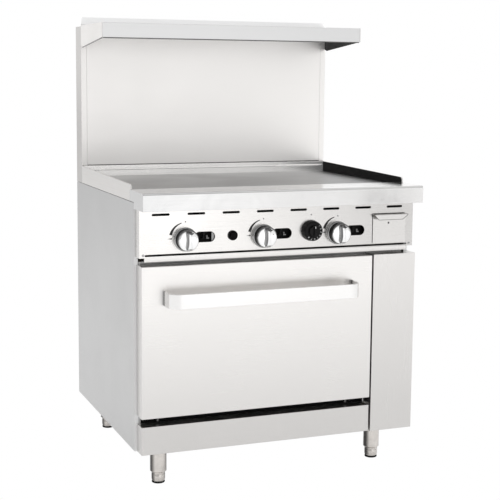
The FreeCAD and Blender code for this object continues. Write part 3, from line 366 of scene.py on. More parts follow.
def moulded(name, base, roughness=0.32, tint=0.0, sheen=0.5):
    """Moulded plastic or phenolic: fine grain, slight sheen variation."""
    graph = Graph(name)
    grain = graph.noise((1500.0,) * 3, detail=2.0)
    wear = graph.noise((60.0,) * 3, detail=4.0)
    colour = graph.mix(graph.spread(wear, 0.0, 1.0), grey(base * 0.8, tint), grey(base * 1.2, tint))
    rough = graph.math("ADD", graph.spread(grain, roughness - 0.04, roughness + 0.04),
                       graph.spread(wear, -0.05, 0.06))
    graph.shader.inputs["Specular IOR Level"].default_value = sheen
    graph.finish(base_color=colour, roughness=rough,
                 normal=graph.bump(grain, 0.1, 0.08 * MM, graph.soft_edges(0.4 * MM)))


def knob_chrome(name):
    """Chrome plate with painted reflections: bright on the flats, painted darker on every side that turns
    sideways, up or down.
    """
    graph = Graph(name)
    haze = graph.noise((60.0,) * 3, detail=4.0)
    # painted reflection: darker on faces that look left, on sideways faces, on faces that look down and on
    # faces that look up
    left = graph.spread(graph.facing("x"), 1.0, 0.0, -0.75, -0.25)
    painted_flank_shade = graph.sideways(0.30, 0.80, most=0.62)
    painted_underside_reflection = graph.spread(graph.facing("z"), 1.0, 0.0, -0.92, -0.35)
    painted_top_reflection = graph.spread(graph.facing("z"), 0.0, 0.9, 0.10, 0.36)
    tone = graph.math("MAXIMUM", graph.math("MAXIMUM", painted_flank_shade, graph.math("MULTIPLY", left, 0.85)),
                      graph.math("MAXIMUM", painted_underside_reflection, painted_top_reflection))
    plate = graph.mix(tone, grey(0.95), grey(0.10))
    graph.finish(base_color=plate, metallic=1.0, roughness=graph.spread(haze, 0.06, 0.12),
                 normal=graph.soft_edges(0.4 * MM))


def mineral_wool(name):
    """Yellow-brown wool boards with matted fibres."""
    graph = Graph(name)
    fibres = graph.noise((90.0, 700.0, 700.0), detail=8.0, roughness=0.75, distortion=1.5)
    tufts = graph.noise((35.0,) * 3, detail=4.0)
    colour = graph.mix(graph.spread(fibres, 0.0, 1.0), (0.30, 0.24, 0.12, 1.0), (0.62, 0.53, 0.32, 1.0))
    height = graph.math("ADD", fibres, tufts)
    graph.finish(base_color=colour, roughness=0.95, normal=graph.bump(height, 0.9, 2.0 * MM))


def printed(name, base):
    """Screen-printed ink with a slightly uneven film."""
    graph = Graph(name)
    film = graph.noise((350.0,) * 3, detail=3.0)
    colour = graph.mix(graph.spread(film, 0.0, 1.0), grey(base * 0.85), grey(base))
    graph.finish(base_color=colour, roughness=graph.spread(film, 0.40, 0.50))


def pale_floor(name):
    """White studio floor, lifted a little so that what it sends back stays light."""
    graph = Graph(name)
    mottle = graph.noise((0.8, 0.8, 0.8), detail=3.0)
    colour = graph.mix(graph.spread(mottle, 0.0, 1.0), grey(0.90), grey(0.92))
    graph.finish(base_color=colour, roughness=0.6, emission_color=grey(1.0), emission_strength=0.34)


def make_materials():
    """Every material of the range and of the stage."""
    # Steel pieces get light and dark values of their own as painted light and shade: each is set to how
    # bright that piece looks, not to a different steel. The fades, the darker sideways and left-facing faces
    # and the glows below are painted shade and painted light too.
    brushed_steel("door_steel", "x", light=0.87, dark=0.85, painted_flank_shade=0.80, smudge=0.015,
                  painted_shade_fade=("z", 0.62, 0.24, 0.83))
    brushed_steel("panel_steel", "x", light=0.86, dark=0.84, roughness=0.26, painted_flank_shade=0.8,
                  painted_shade_fade=("x", -0.36, 0.40, 0.74))
    brushed_steel("drawer_steel", "x", light=0.71, dark=0.69, roughness=0.26)
    brushed_steel("kick_steel", "x", light=0.645, dark=0.625, roughness=0.34)
    brushed_steel("side_steel", "z", light=0.60, dark=0.585, roughness=0.42, tint=0.0, front_glow=0.17)
    brushed_steel("pilaster_steel", "z", light=0.78, dark=0.76, painted_shade_fade=("z", 0.68, 0.2, 0.84))
    brushed_steel("riser_steel", "x", light=0.95, dark=0.94, roughness=0.42, smudge=0.01, bump=0.02,
                  glow=0.03)
    brushed_steel("riser_back_steel", "x", light=0.95, dark=0.94, roughness=0.42, smudge=0.01, painted_flank_shade=0.66,
                  front_glow=0.03)
    brushed_steel("rear_steel", "x", light=0.97, dark=0.95, roughness=0.24, glow=0.12)
    brushed_steel("shelf_steel", "x", light=0.82, dark=0.81, roughness=0.40, tint=0.0, smudge=0.01)
    brushed_steel("cap_steel", "x", light=0.98, dark=0.97, roughness=0.40, tint=0.0, glow=0.20)
    steel_with_shaded_inside("bracket_left", 0.0, steel=0.82)
    steel_with_shaded_inside("bracket_right", -1.0, steel=0.80, shade_tone=0.07)
    polished_steel("rim_steel", ("x", 0.40, -0.44, 0.80), light=0.77, roughness=0.16, left_face_shade=0.74)
    brushed_steel("trim_steel", "x", light=0.82, dark=0.77, roughness=0.24, painted_shade_fade=("z", 0.714, 0.702, 0.85))
    polished_steel("handle_steel", ("y", HANDLE_ROOT - 16 * MM, HANDLE_ROOT - 5 * MM, 0.12), light=0.93,
                   roughness=0.22, left_face_shade=0.85)
    turned_metal("leg_steel", grey(0.72, 0.05), roughness=0.20, painted_flank_shade=0.14)
    turned_metal("foot_steel", grey(0.72, 0.05), roughness=0.20, painted_flank_shade=0.14)
    griddle_steel("griddle_steel")
    steel_with_shaded_inside("splash_left_steel", 1.0, steel=0.78)
    steel_with_shaded_inside("splash_right_steel", -1.0, steel=0.74, shade_tone=0.018)
    brushed_steel("trough_steel", "x", light=0.62, dark=0.5, roughness=0.36)
    galvanised("galvanised")
    enamel("oven_enamel")
    oven_surround("oven_surround")
    cast_iron("burner_iron")
    # near-black matt iron for the pilots: painted shade that keeps the pilot windows dark
    cast_iron("pilot_iron_painted_shade", base=0.004, rust=0.0, metallic=0.0)
    cast_iron("black_pipe", base=0.03, rust=0.1)
    turned_metal("brass", (0.72, 0.52, 0.24, 1.0), roughness=0.28, ring_axis="y")
    moulded("regulator_paint", 0.32, roughness=0.4, tint=-0.04)
    knob_chrome("knob_chrome")
    moulded("knob_side", 0.004, roughness=0.3, sheen=0.1)
    turned_metal("bezel_chrome", grey(0.42), roughness=0.16, ring_axis="y")
    moulded("dial_phenolic", 0.005, roughness=0.3, sheen=0.16)
    moulded("button_plastic", 0.0015, roughness=0.12, sheen=0.07)
    turned_metal("pilot_steel", grey(0.34), roughness=0.3)
    turned_metal("rack_wire", grey(0.66), roughness=0.25, ring_axis="x")
    mineral_wool("wool")
    turned_metal("screw_steel", grey(0.60), roughness=0.3, ring_axis="y")
    # near-black steel of the hems: painted shadow lines
    brushed_steel("hem_painted_shadow", "x", light=0.16, dark=0.12, roughness=0.3)
    moulded("rubber", 0.008, roughness=0.6, sheen=0.2)
    printed("black_ink", 0.012)
    printed("grey_ink", 0.25)
    printed("white_ink", 0.85)
    pale_floor("floor_paint")


NODE_MATERIALS = {
    "door_steel": ("door_outer_panel",),
    "panel_steel": ("control_panel",),
    "drawer_steel": ("grease_drawer",),
    "kick_steel": ("kick_panel",),
    "shelf_steel": ("high_shelf",),
    "cap_steel": ("flue_cap",),
    "side_steel": ("side_panel_left", "side_panel_right", "base_frame"),
    "bracket_left": ("shelf_bracket_left",),
    "bracket_right": ("shelf_bracket_right",),
    "pilaster_steel": ("pilaster_cover",),
    "riser_steel": ("riser_front",),
    "riser_back_steel": ("riser_back",),
    "rear_steel": ("splash_rear",),
    "rim_steel": ("front_rim",),
    "trim_steel": ("panel_trim",),
    "handle_steel": ("door_handle",),
    "leg_steel": ("leg_tubes",),
    "griddle_steel": ("griddle_plate",),
    "splash_left_steel": ("splash_left",),
    "splash_right_steel": ("splash_right",),
    "trough_steel": ("grease_trough", "drawer_housing"),
    "galvanised": ("back_panel", "burner_supports"),
    "oven_enamel": ("oven_liner", "oven_floor", "door_inner_panel"),
    "oven_surround": ("oven_front_frame",),
    "burner_iron": ("griddle_burners", "oven_burner"),
    "pilot_steel": ("hinge_arms", "hinge_receivers"),
    "pilot_iron_painted_shade": ("griddle_pilots",),
    "black_pipe": ("gas_manifold", "gas_inlet_pipe", "oven_gas_pipe"),
    "brass": ("griddle_valves", "thermostat_valve"),
    "regulator_paint": ("pressure_regulator",),
    "button_plastic": ("igniter_housing", "igniter_button"),
    "rack_wire": ("oven_rack", "rack_guides", "thermostat_bulb"),
    "wool": ("oven_insulation", "door_insulation"),
}


def dress_nodes():
    """Give every CAD node that stays its material."""
    for material, nodes in NODE_MATERIALS.items():
        for node in nodes:
            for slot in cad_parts[node].material_slots:
                slot.material = MATERIALS[material]


# ---- mesh helpers ------------------------------------------------------------------------
def new_piece(name, mesh, material, body, smooth=True):
    """Finish a bmesh as a piece that rides on a body."""
    data = bpy.data.meshes.new(name)
    bmesh.ops.remove_doubles(mesh, verts=mesh.verts, dist=1e-6)
    bmesh.ops.recalc_face_normals(mesh, faces=mesh.faces)
    mesh.to_mesh(data)
    mesh.free()
    data.materials.append(MATERIALS[material])
    piece = bpy.data.objects.new(name, data)
    bpy.context.collection.objects.link(piece)
    if smooth:
        data.shade_smooth()
        data.set_sharp_from_angle(angle=SHARP_ANGLE)
    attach(piece, body)
    return piece


def on_axis(centre, axis, radius, angle, along):
    """Point at a radius and angle round an axis that runs along Y or Z through centre."""
    across = radius * math.cos(angle)
    up = radius * math.sin(angle)
    if axis == "z":
        return Vector((centre[0] + across, centre[1] + up, along))
    return Vector((centre[0] + across, along, centre[2] + up))


def lathe(mesh, profile, centre, axis, start=0.0, segments=72):
    """Turn a profile of (radius, place along the axis) points in mm, placed from start.

    Points of zero radius close the ends.
    """
    rings = []
    for radius, along in profile:
        place = start + along * MM
        if radius == 0:
            rings.append([mesh.verts.new(on_axis(centre, axis, 0, 0, place))] * segments)
        else:
            rings.append([mesh.verts.new(on_axis(centre, axis, radius * MM, math.tau * i / segments, place))
                          for i in range(segments)])
    for near, far in zip(rings, rings[1:]):
        for i in range(segments):
            corners = [near[i - 1], near[i], far[i], far[i - 1]]
            unique = list(dict.fromkeys(corners))
            if len(unique) > 2:
                mesh.faces.new(unique)


def loft(mesh, sections):
    """Join closed loops of points, and cap both ends."""
    loops = [[mesh.verts.new(point) for point in section] for section in sections]
    count = len(loops[0])
    for near, far in zip(loops, loops[1:]):
        for i in range(count):
            mesh.faces.new([near[i - 1], near[i], far[i], far[i - 1]])
    mesh.faces.new(loops[0])
    mesh.faces.new(loops[-1])


def block(mesh, low, high):
    """Box between two corners."""
    outline = ((low[0], low[1]), (high[0], low[1]), (high[0], high[1]), (low[0], high[1]))
    loft(mesh, [[Vector((x, y, z)) for x, y in outline] for z in (low[2], high[2])])


def rectangle(left, right, bottom, top):
    """Outline of a rectangle."""
    return [(left, bottom), (right, bottom), (right, top), (left, top)]


def flat_patch(mesh, outline, x, z, y, thickness):
    """Thin patch on a face that looks towards -Y; the outline is in mm round x and z."""
    places = [(x + across * MM, z + up * MM) for across, up in outline]
    loft(mesh, [[Vector((px, py, pz)) for px, pz in places] for py in (y, y - thickness)])


INK = 0.15                # thickness of printed marks, mm
INK_LIFT = 0.01           # how far their backs stand off the panel, mm


def printed_patch(mesh, outline, x, z):
    """Printed mark on the front panel."""
    flat_patch(mesh, outline, x, z, PANEL_Y - INK_LIFT * MM, INK * MM)


def printed_dot(mesh, x, z, radius):
    """Round printed mark on the front panel."""
    lathe(mesh, [(0, -INK), (radius, -INK), (radius, -INK_LIFT)], (x, 0, z), "y", PANEL_Y, segments=20)


# ---- burner knobs: mm, with depths from the panel's face, negative towards the front ------
KNOB_CHROME = [(0, -33.5), (12, -33.3), (22, -32.6), (28.5, -31.7), (31.2, -30.6), (32.5, -28.6),
               (32.5, -27.4), (31, -27.0)]
KNOB_SKIRT = [(31, -27.2), (31.8, -26.4), (31.8, -10.0), (27, -8.8), (9, -8.8), (9, -4), (4, -4), (4, 25),
              (0, 25)]
KNOB_FRONT = -49.0        # front of the grip
GRIP_BACK = -31.0         # back of the grip, inside the face
GRIP_LENGTH = 28.5        # half length
GRIP_WAIST = 5.2          # half width in the middle
GRIP_FLARE = 3.6          # extra half width at the ends
GRIP_TAPER = ((0.90, 1.0), (0.97, 0.94), (1.01, 0.8))   # up to this share of the length: share of the width
GRIP_ROUNDING = 3.6
GRIP_DIP = 2.4            # how much further back the front lies near its ends
GRIP_FALL = 12.0          # how far the ends drop to the face
GRIP_STEPS = 24
ROUNDING_STEPS = 8
POINTER = rectangle(-1.1, 1.1, 13, 25)
POINTER_DEPTH = -47.1
NOTCH = [(3.0, 18.0), (10.5, 22.0), (9.6, 24.6), (2.0, 20.6)]
NOTCH_DEPTH = -44.8
BEZEL = [(12, -0.2), (12, -2), (20, -2), (31.4, -6.4), (32.6, -7), (34.2, -6.6), (35.6, -5), (36, -2.4),
         (36, -0.2)]


def grip_section(x, z, half_width, front, back, rounding):
    """One cross-section of a grip ridge, flat at its back and rounded at its front; sizes in mm."""
    points = [Vector((x + side * half_width * MM, PANEL_Y + back * MM, z)) for side in (-1, 1)]
    for step in range(ROUNDING_STEPS + 1):
        angle = math.pi * step / ROUNDING_STEPS
        side = (step < ROUNDING_STEPS / 2) - (step > ROUNDING_STEPS / 2)
        across = (half_width - rounding) * side + rounding * math.cos(angle)
        depth = front + rounding - rounding * math.sin(angle)
        points.append(Vector((x + across * MM, PANEL_Y + depth * MM, z)))
    return points


def make_knob(node):
    """Chromed knob: domed face on a dark side wall, waisted grip with a notch at its pointer end."""
    x, _, z = middle(node)
    chrome = bmesh.new()
    lathe(chrome, KNOB_CHROME, (x, 0, z), "y", PANEL_Y)
    sections = []
    for step in range(GRIP_STEPS + 1):
        along = -1 + 2 * step / GRIP_STEPS
        taper = next(share for limit, share in GRIP_TAPER if abs(along) < limit)
        half_width = (GRIP_WAIST + GRIP_FLARE * along ** 2) * taper
        fall = (1 - math.sqrt(max(0.0, 1 - along ** 10))) * GRIP_FALL
        front = KNOB_FRONT + fall + GRIP_DIP * along ** 2
        sections.append(grip_section(x, z + along * GRIP_LENGTH * MM, half_width, front, GRIP_BACK,
                                     GRIP_ROUNDING * taper))
    loft(chrome, sections)
    new_piece(node + "_face", chrome, "knob_chrome", node)
    side = bmesh.new()
    lathe(side, KNOB_SKIRT, (x, 0, z), "y", PANEL_Y)
    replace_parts(new_piece(node + "_skirt", side, "knob_side", node), node)
    marks = bmesh.new()
    flat_patch(marks, POINTER, x, z, PANEL_Y + POINTER_DEPTH * MM, 0.6 * MM)
    flat_patch(marks, NOTCH, x, z, PANEL_Y + NOTCH_DEPTH * MM, 3.2 * MM)
    new_piece(node + "_marks", marks, "black_ink", node, smooth=False)


def make_bezels():
    """Dished chromed rings behind the knobs."""
    mesh = bmesh.new()
    for node in KNOBS:
        x, _, z = middle(node)
        lathe(mesh, BEZEL, (x, 0, z), "y", PANEL_Y, segments=96)
    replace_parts(new_piece("knob_rings", mesh, "bezel_chrome", "cabinet"), "knob_bezels")


# ---- printed marks round the knobs (mm) ---------------------------------------------------
PRINT_RAISE = 3.0         # the print's centre lies this far above the knob's
ARC_STEPS = 22
ARC_START = math.radians(166)
ARC_STOP = math.radians(104)
ARC_INNER = 42.5          # inner radius where the arc starts
ARC_OPENING = 4.0         # how much it grows towards the stop
ARC_WIDTH = 9.2           # width where the arc starts
ARC_THINNING = 7.2        # how much it thins towards the stop
OFF_DASH = rectangle(-48, -42, -1.6, 1.6)
OFF_TAIL = [(-55, -0.5), (-48.2, -1.2), (-48.2, 1.2), (-55, 0.5)]
TOP_DOT_RADIUS = 2.1
TOP_DOT_HEIGHT = 49.5


def make_flame_arcs():
    """Printed marks round each knob: a tapering arc, a dot at the top, a dash at the left."""
    black = bmesh.new()
    dots = bmesh.new()
    for node in KNOBS:
        x, _, z = middle(node)
        z += PRINT_RAISE * MM
        inside = []
        outside = []
        for step in range(ARC_STEPS + 1):
            share = step / ARC_STEPS
            angle = ARC_START + (ARC_STOP - ARC_START) * share
            inner = ARC_INNER + ARC_OPENING * share
            outer = inner + ARC_WIDTH - ARC_THINNING * share
            inside.append((inner * math.cos(angle), inner * math.sin(angle)))
            outside.append((outer * math.cos(angle), outer * math.sin(angle)))
        for step in range(ARC_STEPS):
            printed_patch(black, [inside[step], inside[step + 1], outside[step + 1], outside[step]], x, z)
        printed_patch(black, OFF_DASH, x, z)
        printed_patch(dots, OFF_TAIL, x, z)
        printed_dot(dots, x, z + TOP_DOT_HEIGHT * MM, TOP_DOT_RADIUS)
    new_piece("flame_marks", black, "black_ink", "cabinet", smooth=False)
    new_piece("off_dots", dots, "grey_ink", "cabinet", smooth=False)


# ---- oven dial: mm, with depths from the panel's face -------------------------------------
DIAL_BACK = -1.5
DIAL_FACE = -21.5
DIAL_BODY = [(0, DIAL_BACK), (31.5, DIAL_BACK), (32.5, -2.3), (32.2, -3.9), (30.6, -18.5), (29.9, -20.5),
             (28.6, DIAL_FACE), (18, DIAL_FACE)]
DIAL_STEM_RADIUS = 4
HUB_RINGS = ((18.5, -20.5), (18.5, -22.5), (18.0, -28.0), (16.8, -30.1), (13.5, -30.5))
FLUTES = 24
FLUTE_STEPS = 6           # points per flute
FLUTE_GROOVE = 0.7
FLUTE_END = -29.5         # the hub is plain in front of this
DIAL_GRIP_STEPS = 12
DIAL_GRIP_LENGTH = 17.5   # half length
DIAL_GRIP_WAIST = 4.0     # half width in the middle
DIAL_GRIP_FRONT = -35.1
DIAL_GRIP_BACK = -25.5
DIAL_GRIP_DROP = 2.2      # how much further back its ends lie
DIAL_GRIP_ROUNDING = 2.0
NUMERALS = "12345678"
NUMERAL_SIZE = 8.0
NUMERAL_RADIUS = 24.6
NUMERAL_START = math.radians(42)
NUMERAL_SWEEP = math.radians(175)
DIAL_POINTER = rectangle(-0.9, 0.9, 6, 16)
DIAL_POINTER_DEPTH = -34.1
DIAL_TICK_HEIGHT = 49
DIAL_TICK_RADIUS = 2.0


def numeral_mesh(text, place, size, turn):
    """Mesh of a small flat numeral that looks towards -Y, turned about its middle."""
    curve = bpy.data.curves.new("numeral", "FONT")
    curve.body = text
    curve.size = size
    curve.align_x = "CENTER"
    curve.align_y = "CENTER"
    curve.extrude = 0.1 * MM
    writing = bpy.data.objects.new("numeral", curve)
    bpy.context.collection.objects.link(writing)
    bpy.context.view_layer.update()
    mesh = bpy.data.meshes.new_from_object(writing)
    bpy.data.objects.remove(writing)
    upright = Matrix.Rotation(turn, 4, "Y") @ Matrix.Rotation(math.pi / 2, 4, "X")
    mesh.transform(Matrix.Translation(place) @ upright)
    return mesh


def add_hub(mesh, centre):
    """Fluted hub of the oven dial."""
    rings = []
    for radius, depth in HUB_RINGS:
        ring = []
        for i in range(FLUTES * FLUTE_STEPS):
            angle = math.tau * i / (FLUTES * FLUTE_STEPS)
            groove = FLUTE_GROOVE * max(0.0, math.cos(angle * FLUTES)) if depth > FLUTE_END else 0.0
            ring.append(on_axis(centre, "y", (radius - groove) * MM, angle, PANEL_Y + depth * MM))
        rings.append(ring)
    loft(mesh, rings)


def add_dial_grip(mesh, x, z):
    """Bar grip of the oven dial."""
    sections = []
    for step in range(DIAL_GRIP_STEPS + 1):
        along = -1 + 2 * step / DIAL_GRIP_STEPS
        front = DIAL_GRIP_FRONT + DIAL_GRIP_DROP * abs(along) ** 6
        half_width = DIAL_GRIP_WAIST + along ** 2
        sections.append(grip_section(x, z + along * DIAL_GRIP_LENGTH * MM, half_width, front, DIAL_GRIP_BACK,
                                     DIAL_GRIP_ROUNDING))
    loft(mesh, sections)


def make_dial():
    """Black oven dial: deep skirt, numbered face, fluted hub and a bar grip with a white pointer."""
    node = "thermostat_knob"
    x, _, z = middle(node)
    centre = (x, 0, z)
    stem_end = (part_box(node)[1][1] - PANEL_Y) / MM
    mesh = bmesh.new()
    lathe(mesh, DIAL_BODY, centre, "y", PANEL_Y, segments=96)
    add_hub(mesh, centre)
    add_dial_grip(mesh, x, z)
    lathe(mesh, [(DIAL_STEM_RADIUS, DIAL_BACK), (DIAL_STEM_RADIUS, stem_end), (0, stem_end)], centre, "y",
          PANEL_Y, segments=32)
    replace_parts(new_piece("oven_dial", mesh, "dial_phenolic", "thermostat_dial"), node)
    writing = bmesh.new()
    numeral_y = PANEL_Y + (DIAL_FACE - 0.1) * MM
    for index, numeral in enumerate(NUMERALS):
        angle = NUMERAL_START - index * NUMERAL_SWEEP / (len(NUMERALS) - 1)
        place = on_axis(centre, "y", NUMERAL_RADIUS * MM, angle, numeral_y)
        writing.from_mesh(numeral_mesh(numeral, place, NUMERAL_SIZE * MM, math.pi / 2 - angle))
    flat_patch(writing, DIAL_POINTER, x, z, PANEL_Y + DIAL_POINTER_DEPTH * MM, 0.9 * MM)
    new_piece("oven_dial_numbers", writing, "white_ink", "thermostat_dial", smooth=False)
    tick = bmesh.new()
    printed_dot(tick, x, z + DIAL_TICK_HEIGHT * MM, DIAL_TICK_RADIUS)
    new_piece("oven_dial_tick", tick, "black_ink", "cabinet", smooth=False)


# ---- igniter and feet (mm) ----------------------------------------------------------------
BUTTON_RADIUS = 10
BUTTON_FRONT = [(0, 0.8), (5.5, 0.6), (7.6, 0), (9.2, 0.5), (BUTTON_RADIUS, 2)]   # depth from its front
FOOT_RADIUS = 21
FOOT_STEM = [(0, 3.6), (17.0, 3.6), (18.6, 5), (20.2, 9), (20.9, 13), (FOOT_RADIUS, 27), (20.2, 28.2),
             (20.2, 29.4), (FOOT_RADIUS, 30.4)]
FOOT_PAD = [(0, 0), (18.6, 0), (19.8, 0.6), (20.4, 1.8), (20.2, 3.8), (18.9, 5.2), (15, 5.4), (0, 5.4)]


def make_igniter():
    """Push button of the spark igniter, with a shallow dish in its front."""
    x, _, z = middle("igniter_button")
    low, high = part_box("igniter_button")
    length = (high[1] - low[1]) / MM
    profile = BUTTON_FRONT + [(BUTTON_RADIUS, length), (0, length)]
    button = bmesh.new()
    lathe(button, profile, (x, 0, z), "y", low[1], segments=64)
    piece = new_piece("igniter_push_button", button, "button_plastic", "igniter_button")
    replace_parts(piece, "igniter_button")


def make_foot(node):
    """Bullet foot: turned steel stem and a thin black pad."""
    x, y, _ = middle(node)
    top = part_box(node)[1][2] / MM
    stem = bmesh.new()
    lathe(stem, FOOT_STEM + [(FOOT_RADIUS, top - 2), (18, top), (0, top)], (x, y, 0), "z")
    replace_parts(new_piece(node + "_stem", stem, "foot_steel", node), node)
    pad = bmesh.new()
    lathe(pad, FOOT_PAD, (x, y, 0), "z")
    new_piece(node + "_pad", pad, "rubber", node)


# ---- pilot hoods, hems, grommet (mm) ------------------------------------------------------
HOOD_OFFSET = 70          # from a knob's axis to its pilot
HOOD_DEPTH = 8            # behind the panel's face
HOOD = [(0, 9), (2.2, 8.6), (3.4, 7), (3.4, 4.5), (2.0, 3.5), (2.0, -2), (0, -2)]
HOOD_TAB = ((1, -3, -1), (6, -2, 1.4))         # low and high corner, from the hood's axis
PILOT_SHIELD = ((14, -3, -9), (30, -2, 17))
SHELF_HEM = 2.8
RISER_HEM = 2.4
PULL_HEM = 1.2
DRIP_HOLE = (0.366, 0.792)                      # X and Z of the hole in the drawer front, m
DRAWER_PLATE = 1.5                              # the drawer front stands this far off the panel
GROMMET = [(0, -0.3), (2.4, -0.3), (3.0, -0.1), (3.0, 0), (0, 0)]


def block_near(mesh, place, corners):
    """Box between two corners given in mm from a place."""
    low, high = ([place[axis] + corner[axis] * MM for axis in range(3)] for corner in corners)
    block(mesh, low, high)


def make_pilot_hoods():
    """Bright burner hoods that show in the pilot windows; the left one has a wide shield beside it."""
    mesh = bmesh.new()
    hood_y = PANEL_Y + HOOD_DEPTH * MM
    for node in KNOBS:
        x, _, z = middle(node)
        x += HOOD_OFFSET * MM
        lathe(mesh, HOOD, (x, hood_y, 0), "z", z, segments=24)
        block_near(mesh, (x, hood_y, z), HOOD_TAB)
    x, _, z = middle("knob_left")
    block_near(mesh, (x + HOOD_OFFSET * MM, hood_y, z), PILOT_SHIELD)
    new_piece("pilot_hoods", mesh, "pilot_steel", "cabinet")


def hem(mesh, points, size):
    """Thin folded edge that follows points; a square bar of the given size in mm."""
    half = size * MM / 2
    for start, end in zip(points, points[1:]):
        run = (Vector(end) - Vector(start)).normalized()
        across = Vector((0, 0, 1)).cross(run)
        across.normalize()
        rise = run.cross(across)
        loft(mesh, [[Vector(place) + across * a * half + rise * b * half
                     for a, b in rectangle(-1, 1, -1, 1)] for place in (start, end)])


def make_hems():
    """Folded edges drawn dark as painted shadow lines: under the shelf and its left bracket, at the riser's
    foot, on the drawer pull.
    """
    mesh = bmesh.new()
    low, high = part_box("high_shelf")
    bracket_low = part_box("shelf_bracket_left")[0]
    edge = SHELF_HEM * MM
    front = low[1] + edge / 2
    bottom = low[2] - edge / 2
    left = bracket_low[0] + edge / 2
    hem(mesh, [(low[0] + edge, front, bottom), (high[0] - edge, front, bottom)], SHELF_HEM)
    hem(mesh, [(left, front, bottom), (left, high[1] - 18 * MM, bracket_low[2] - edge / 2)], SHELF_HEM)
    low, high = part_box("riser_front")
    foot_y = low[1] - 1.4 * MM
    foot_z = low[2] - 1.7 * MM
    hem(mesh, [(low[0], foot_y, foot_z), (high[0], foot_y, foot_z)], RISER_HEM)
    new_piece("shelf_hem_shadow_lines", mesh, "hem_painted_shadow", "cabinet", smooth=False)
    pull = bmesh.new()
    low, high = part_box("grease_drawer")
    front = low[1] + 0.2 * MM
    top = high[2] - 3 * MM
    bottom = high[2] - 17.4 * MM
    hem(pull, [(low[0] + 1 * MM, front, top), (low[0] + 14 * MM, front, bottom),
               (high[0] - 20 * MM, front, bottom), (high[0] - 1 * MM, front, top)], PULL_HEM)
    new_piece("drawer_pull_hem_shadow_line", pull, "hem_painted_shadow", "grease_drawer", smooth=False)


def make_frame_strip():
    """Steel strip that closes the gap between the front panel and the pilaster cover."""
    mesh = bmesh.new()
    frame_low, frame_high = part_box("oven_front_frame")
    cover_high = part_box("pilaster_cover")[1]
    block(mesh, (frame_high[0] + 0.5 * MM, frame_low[1], cover_high[2] - 6 * MM),
          (cover_high[0] - 20 * MM, frame_high[1], frame_high[2]))
    new_piece("upper_frame_strip", mesh, "oven_surround", "cabinet", smooth=False)


def make_grommet():
    """Black grommet in the drip hole of the drawer front."""
    mesh = bmesh.new()
    x, z = DRIP_HOLE
    lathe(mesh, GROMMET, (x, 0, z), "y", PANEL_Y - DRAWER_PLATE * MM, segments=24)
    new_piece("drawer_grommet", mesh, "rubber", "grease_drawer")


# ---- screws, louvres ---------------------------------------------------------------------
FRONT_SCREWS = [(x, 0.724) for x in (-0.441, 0.441)]                                      # X and Z, m
BACK_SCREWS = [(x, z) for x in (-0.42, -0.14, 0.14, 0.42) for z in (0.185, 0.85)]
SCREW_HEAD = ((0, 2.0), (1.6, 1.9), (3.0, 1.4), (3.8, 0.6), (4, 0))                       # mm
CROSS_RECESS = ((1.9, 0.35), (0.35, 1.9))                                                 # half sizes, mm
CROSS_DEPTHS = (1.85, 2.05)                                                               # mm
LOUVRE_COLUMNS = [column * 0.15 for column in range(-2, 3)]                               # X, m
LOUVRE_ROWS = [0.2655 + row * 0.03 for row in range(5)]                                   # Z, m
LOUVRE_HALF_WIDTH = 44    # mm
LOUVRE_DEPTH = 5.0
LOUVRE_HEIGHT = 9.0
LOUVRE_STEPS = 14
LOUVRE_SECTION = ((0, 0.5), (0.6, 0.3), (1, -0.1), (1, -0.5), (0.8, -0.5), (0.8, -0.1), (0, 0.2))


def pan_head(mesh, x, y, z, outward):
    """Domed screw head with a cross recess; outward is the way it faces along Y."""
    profile = [(radius, outward * height) for radius, height in SCREW_HEAD]
    lathe(mesh, profile, (x, 0, z), "y", y, segments=28)
    near, far = sorted(outward * depth for depth in CROSS_DEPTHS)
    for wide, high in CROSS_RECESS:
        block_near(mesh, (x, y, z), ((-wide, near, -high), (wide, far, high)))


def make_screws():
    """Pan-head screws on the front panel and the back panel."""
    mesh = bmesh.new()
    for x, z in FRONT_SCREWS:
        pan_head(mesh, x, PANEL_Y, z, -1)
    for x, z in BACK_SCREWS:
        pan_head(mesh, x, BACK_Y, z, 1)
    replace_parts(new_piece("screw_heads", mesh, "screw_steel", "cabinet"), "panel_screws")


def make_louvre_hoods():
    """Pressed hoods over the slots in the back panel."""
    mesh = bmesh.new()
    for x in LOUVRE_COLUMNS:
        for z in LOUVRE_ROWS:
            sections = []
            for step in range(LOUVRE_STEPS + 1):
                along = -1 + 2 * step / LOUVRE_STEPS
                depth = LOUVRE_DEPTH * max(0.0, 1 - along ** 8) + 0.2
                sections.append([Vector((x + along * LOUVRE_HALF_WIDTH * MM, BACK_Y + depth * out * MM,
                                         z + LOUVRE_HEIGHT * up * MM)) for out, up in LOUVRE_SECTION])
            loft(mesh, sections)
    new_piece("louvre_hoods", mesh, "galvanised", "cabinet")


# ---- stage -------------------------------------------------------------------------------
FLOOR_REACH = 14.0
# name, place, target, size (metres) and radiance of each soft light
LIGHTS = (
    ("overhead", (0.0, -0.6, 4.6), (0.0, -0.2, 0.0), (6.0, 5.0), 0.3),
    ("front_wide", (2.2, -5.2, 1.2), (0.2, 0.0, 1.0), (5.0, 2.8), 0.24),
    ("front_left", (0.6, -5.2, 1.0), (0.0, 0.0, 0.9), (2.4, 2.2), 0.26),
    ("behind", (0.0, 4.8, 1.75), (0.0, 0.0, 1.2), (9.0, 1.5), 0.42),
)
CARD_PLACE = (2.05, -3.62, 0.50)
CARD_SIZE = (0.26, 0.11)
WORLD_SEEN = 1.0          # what the camera sees behind the range
WORLD_MIRRORED = 0.58     # what shows in reflections
WORLD_DIFFUSE = 0.62      # what lights the floor and dull surfaces


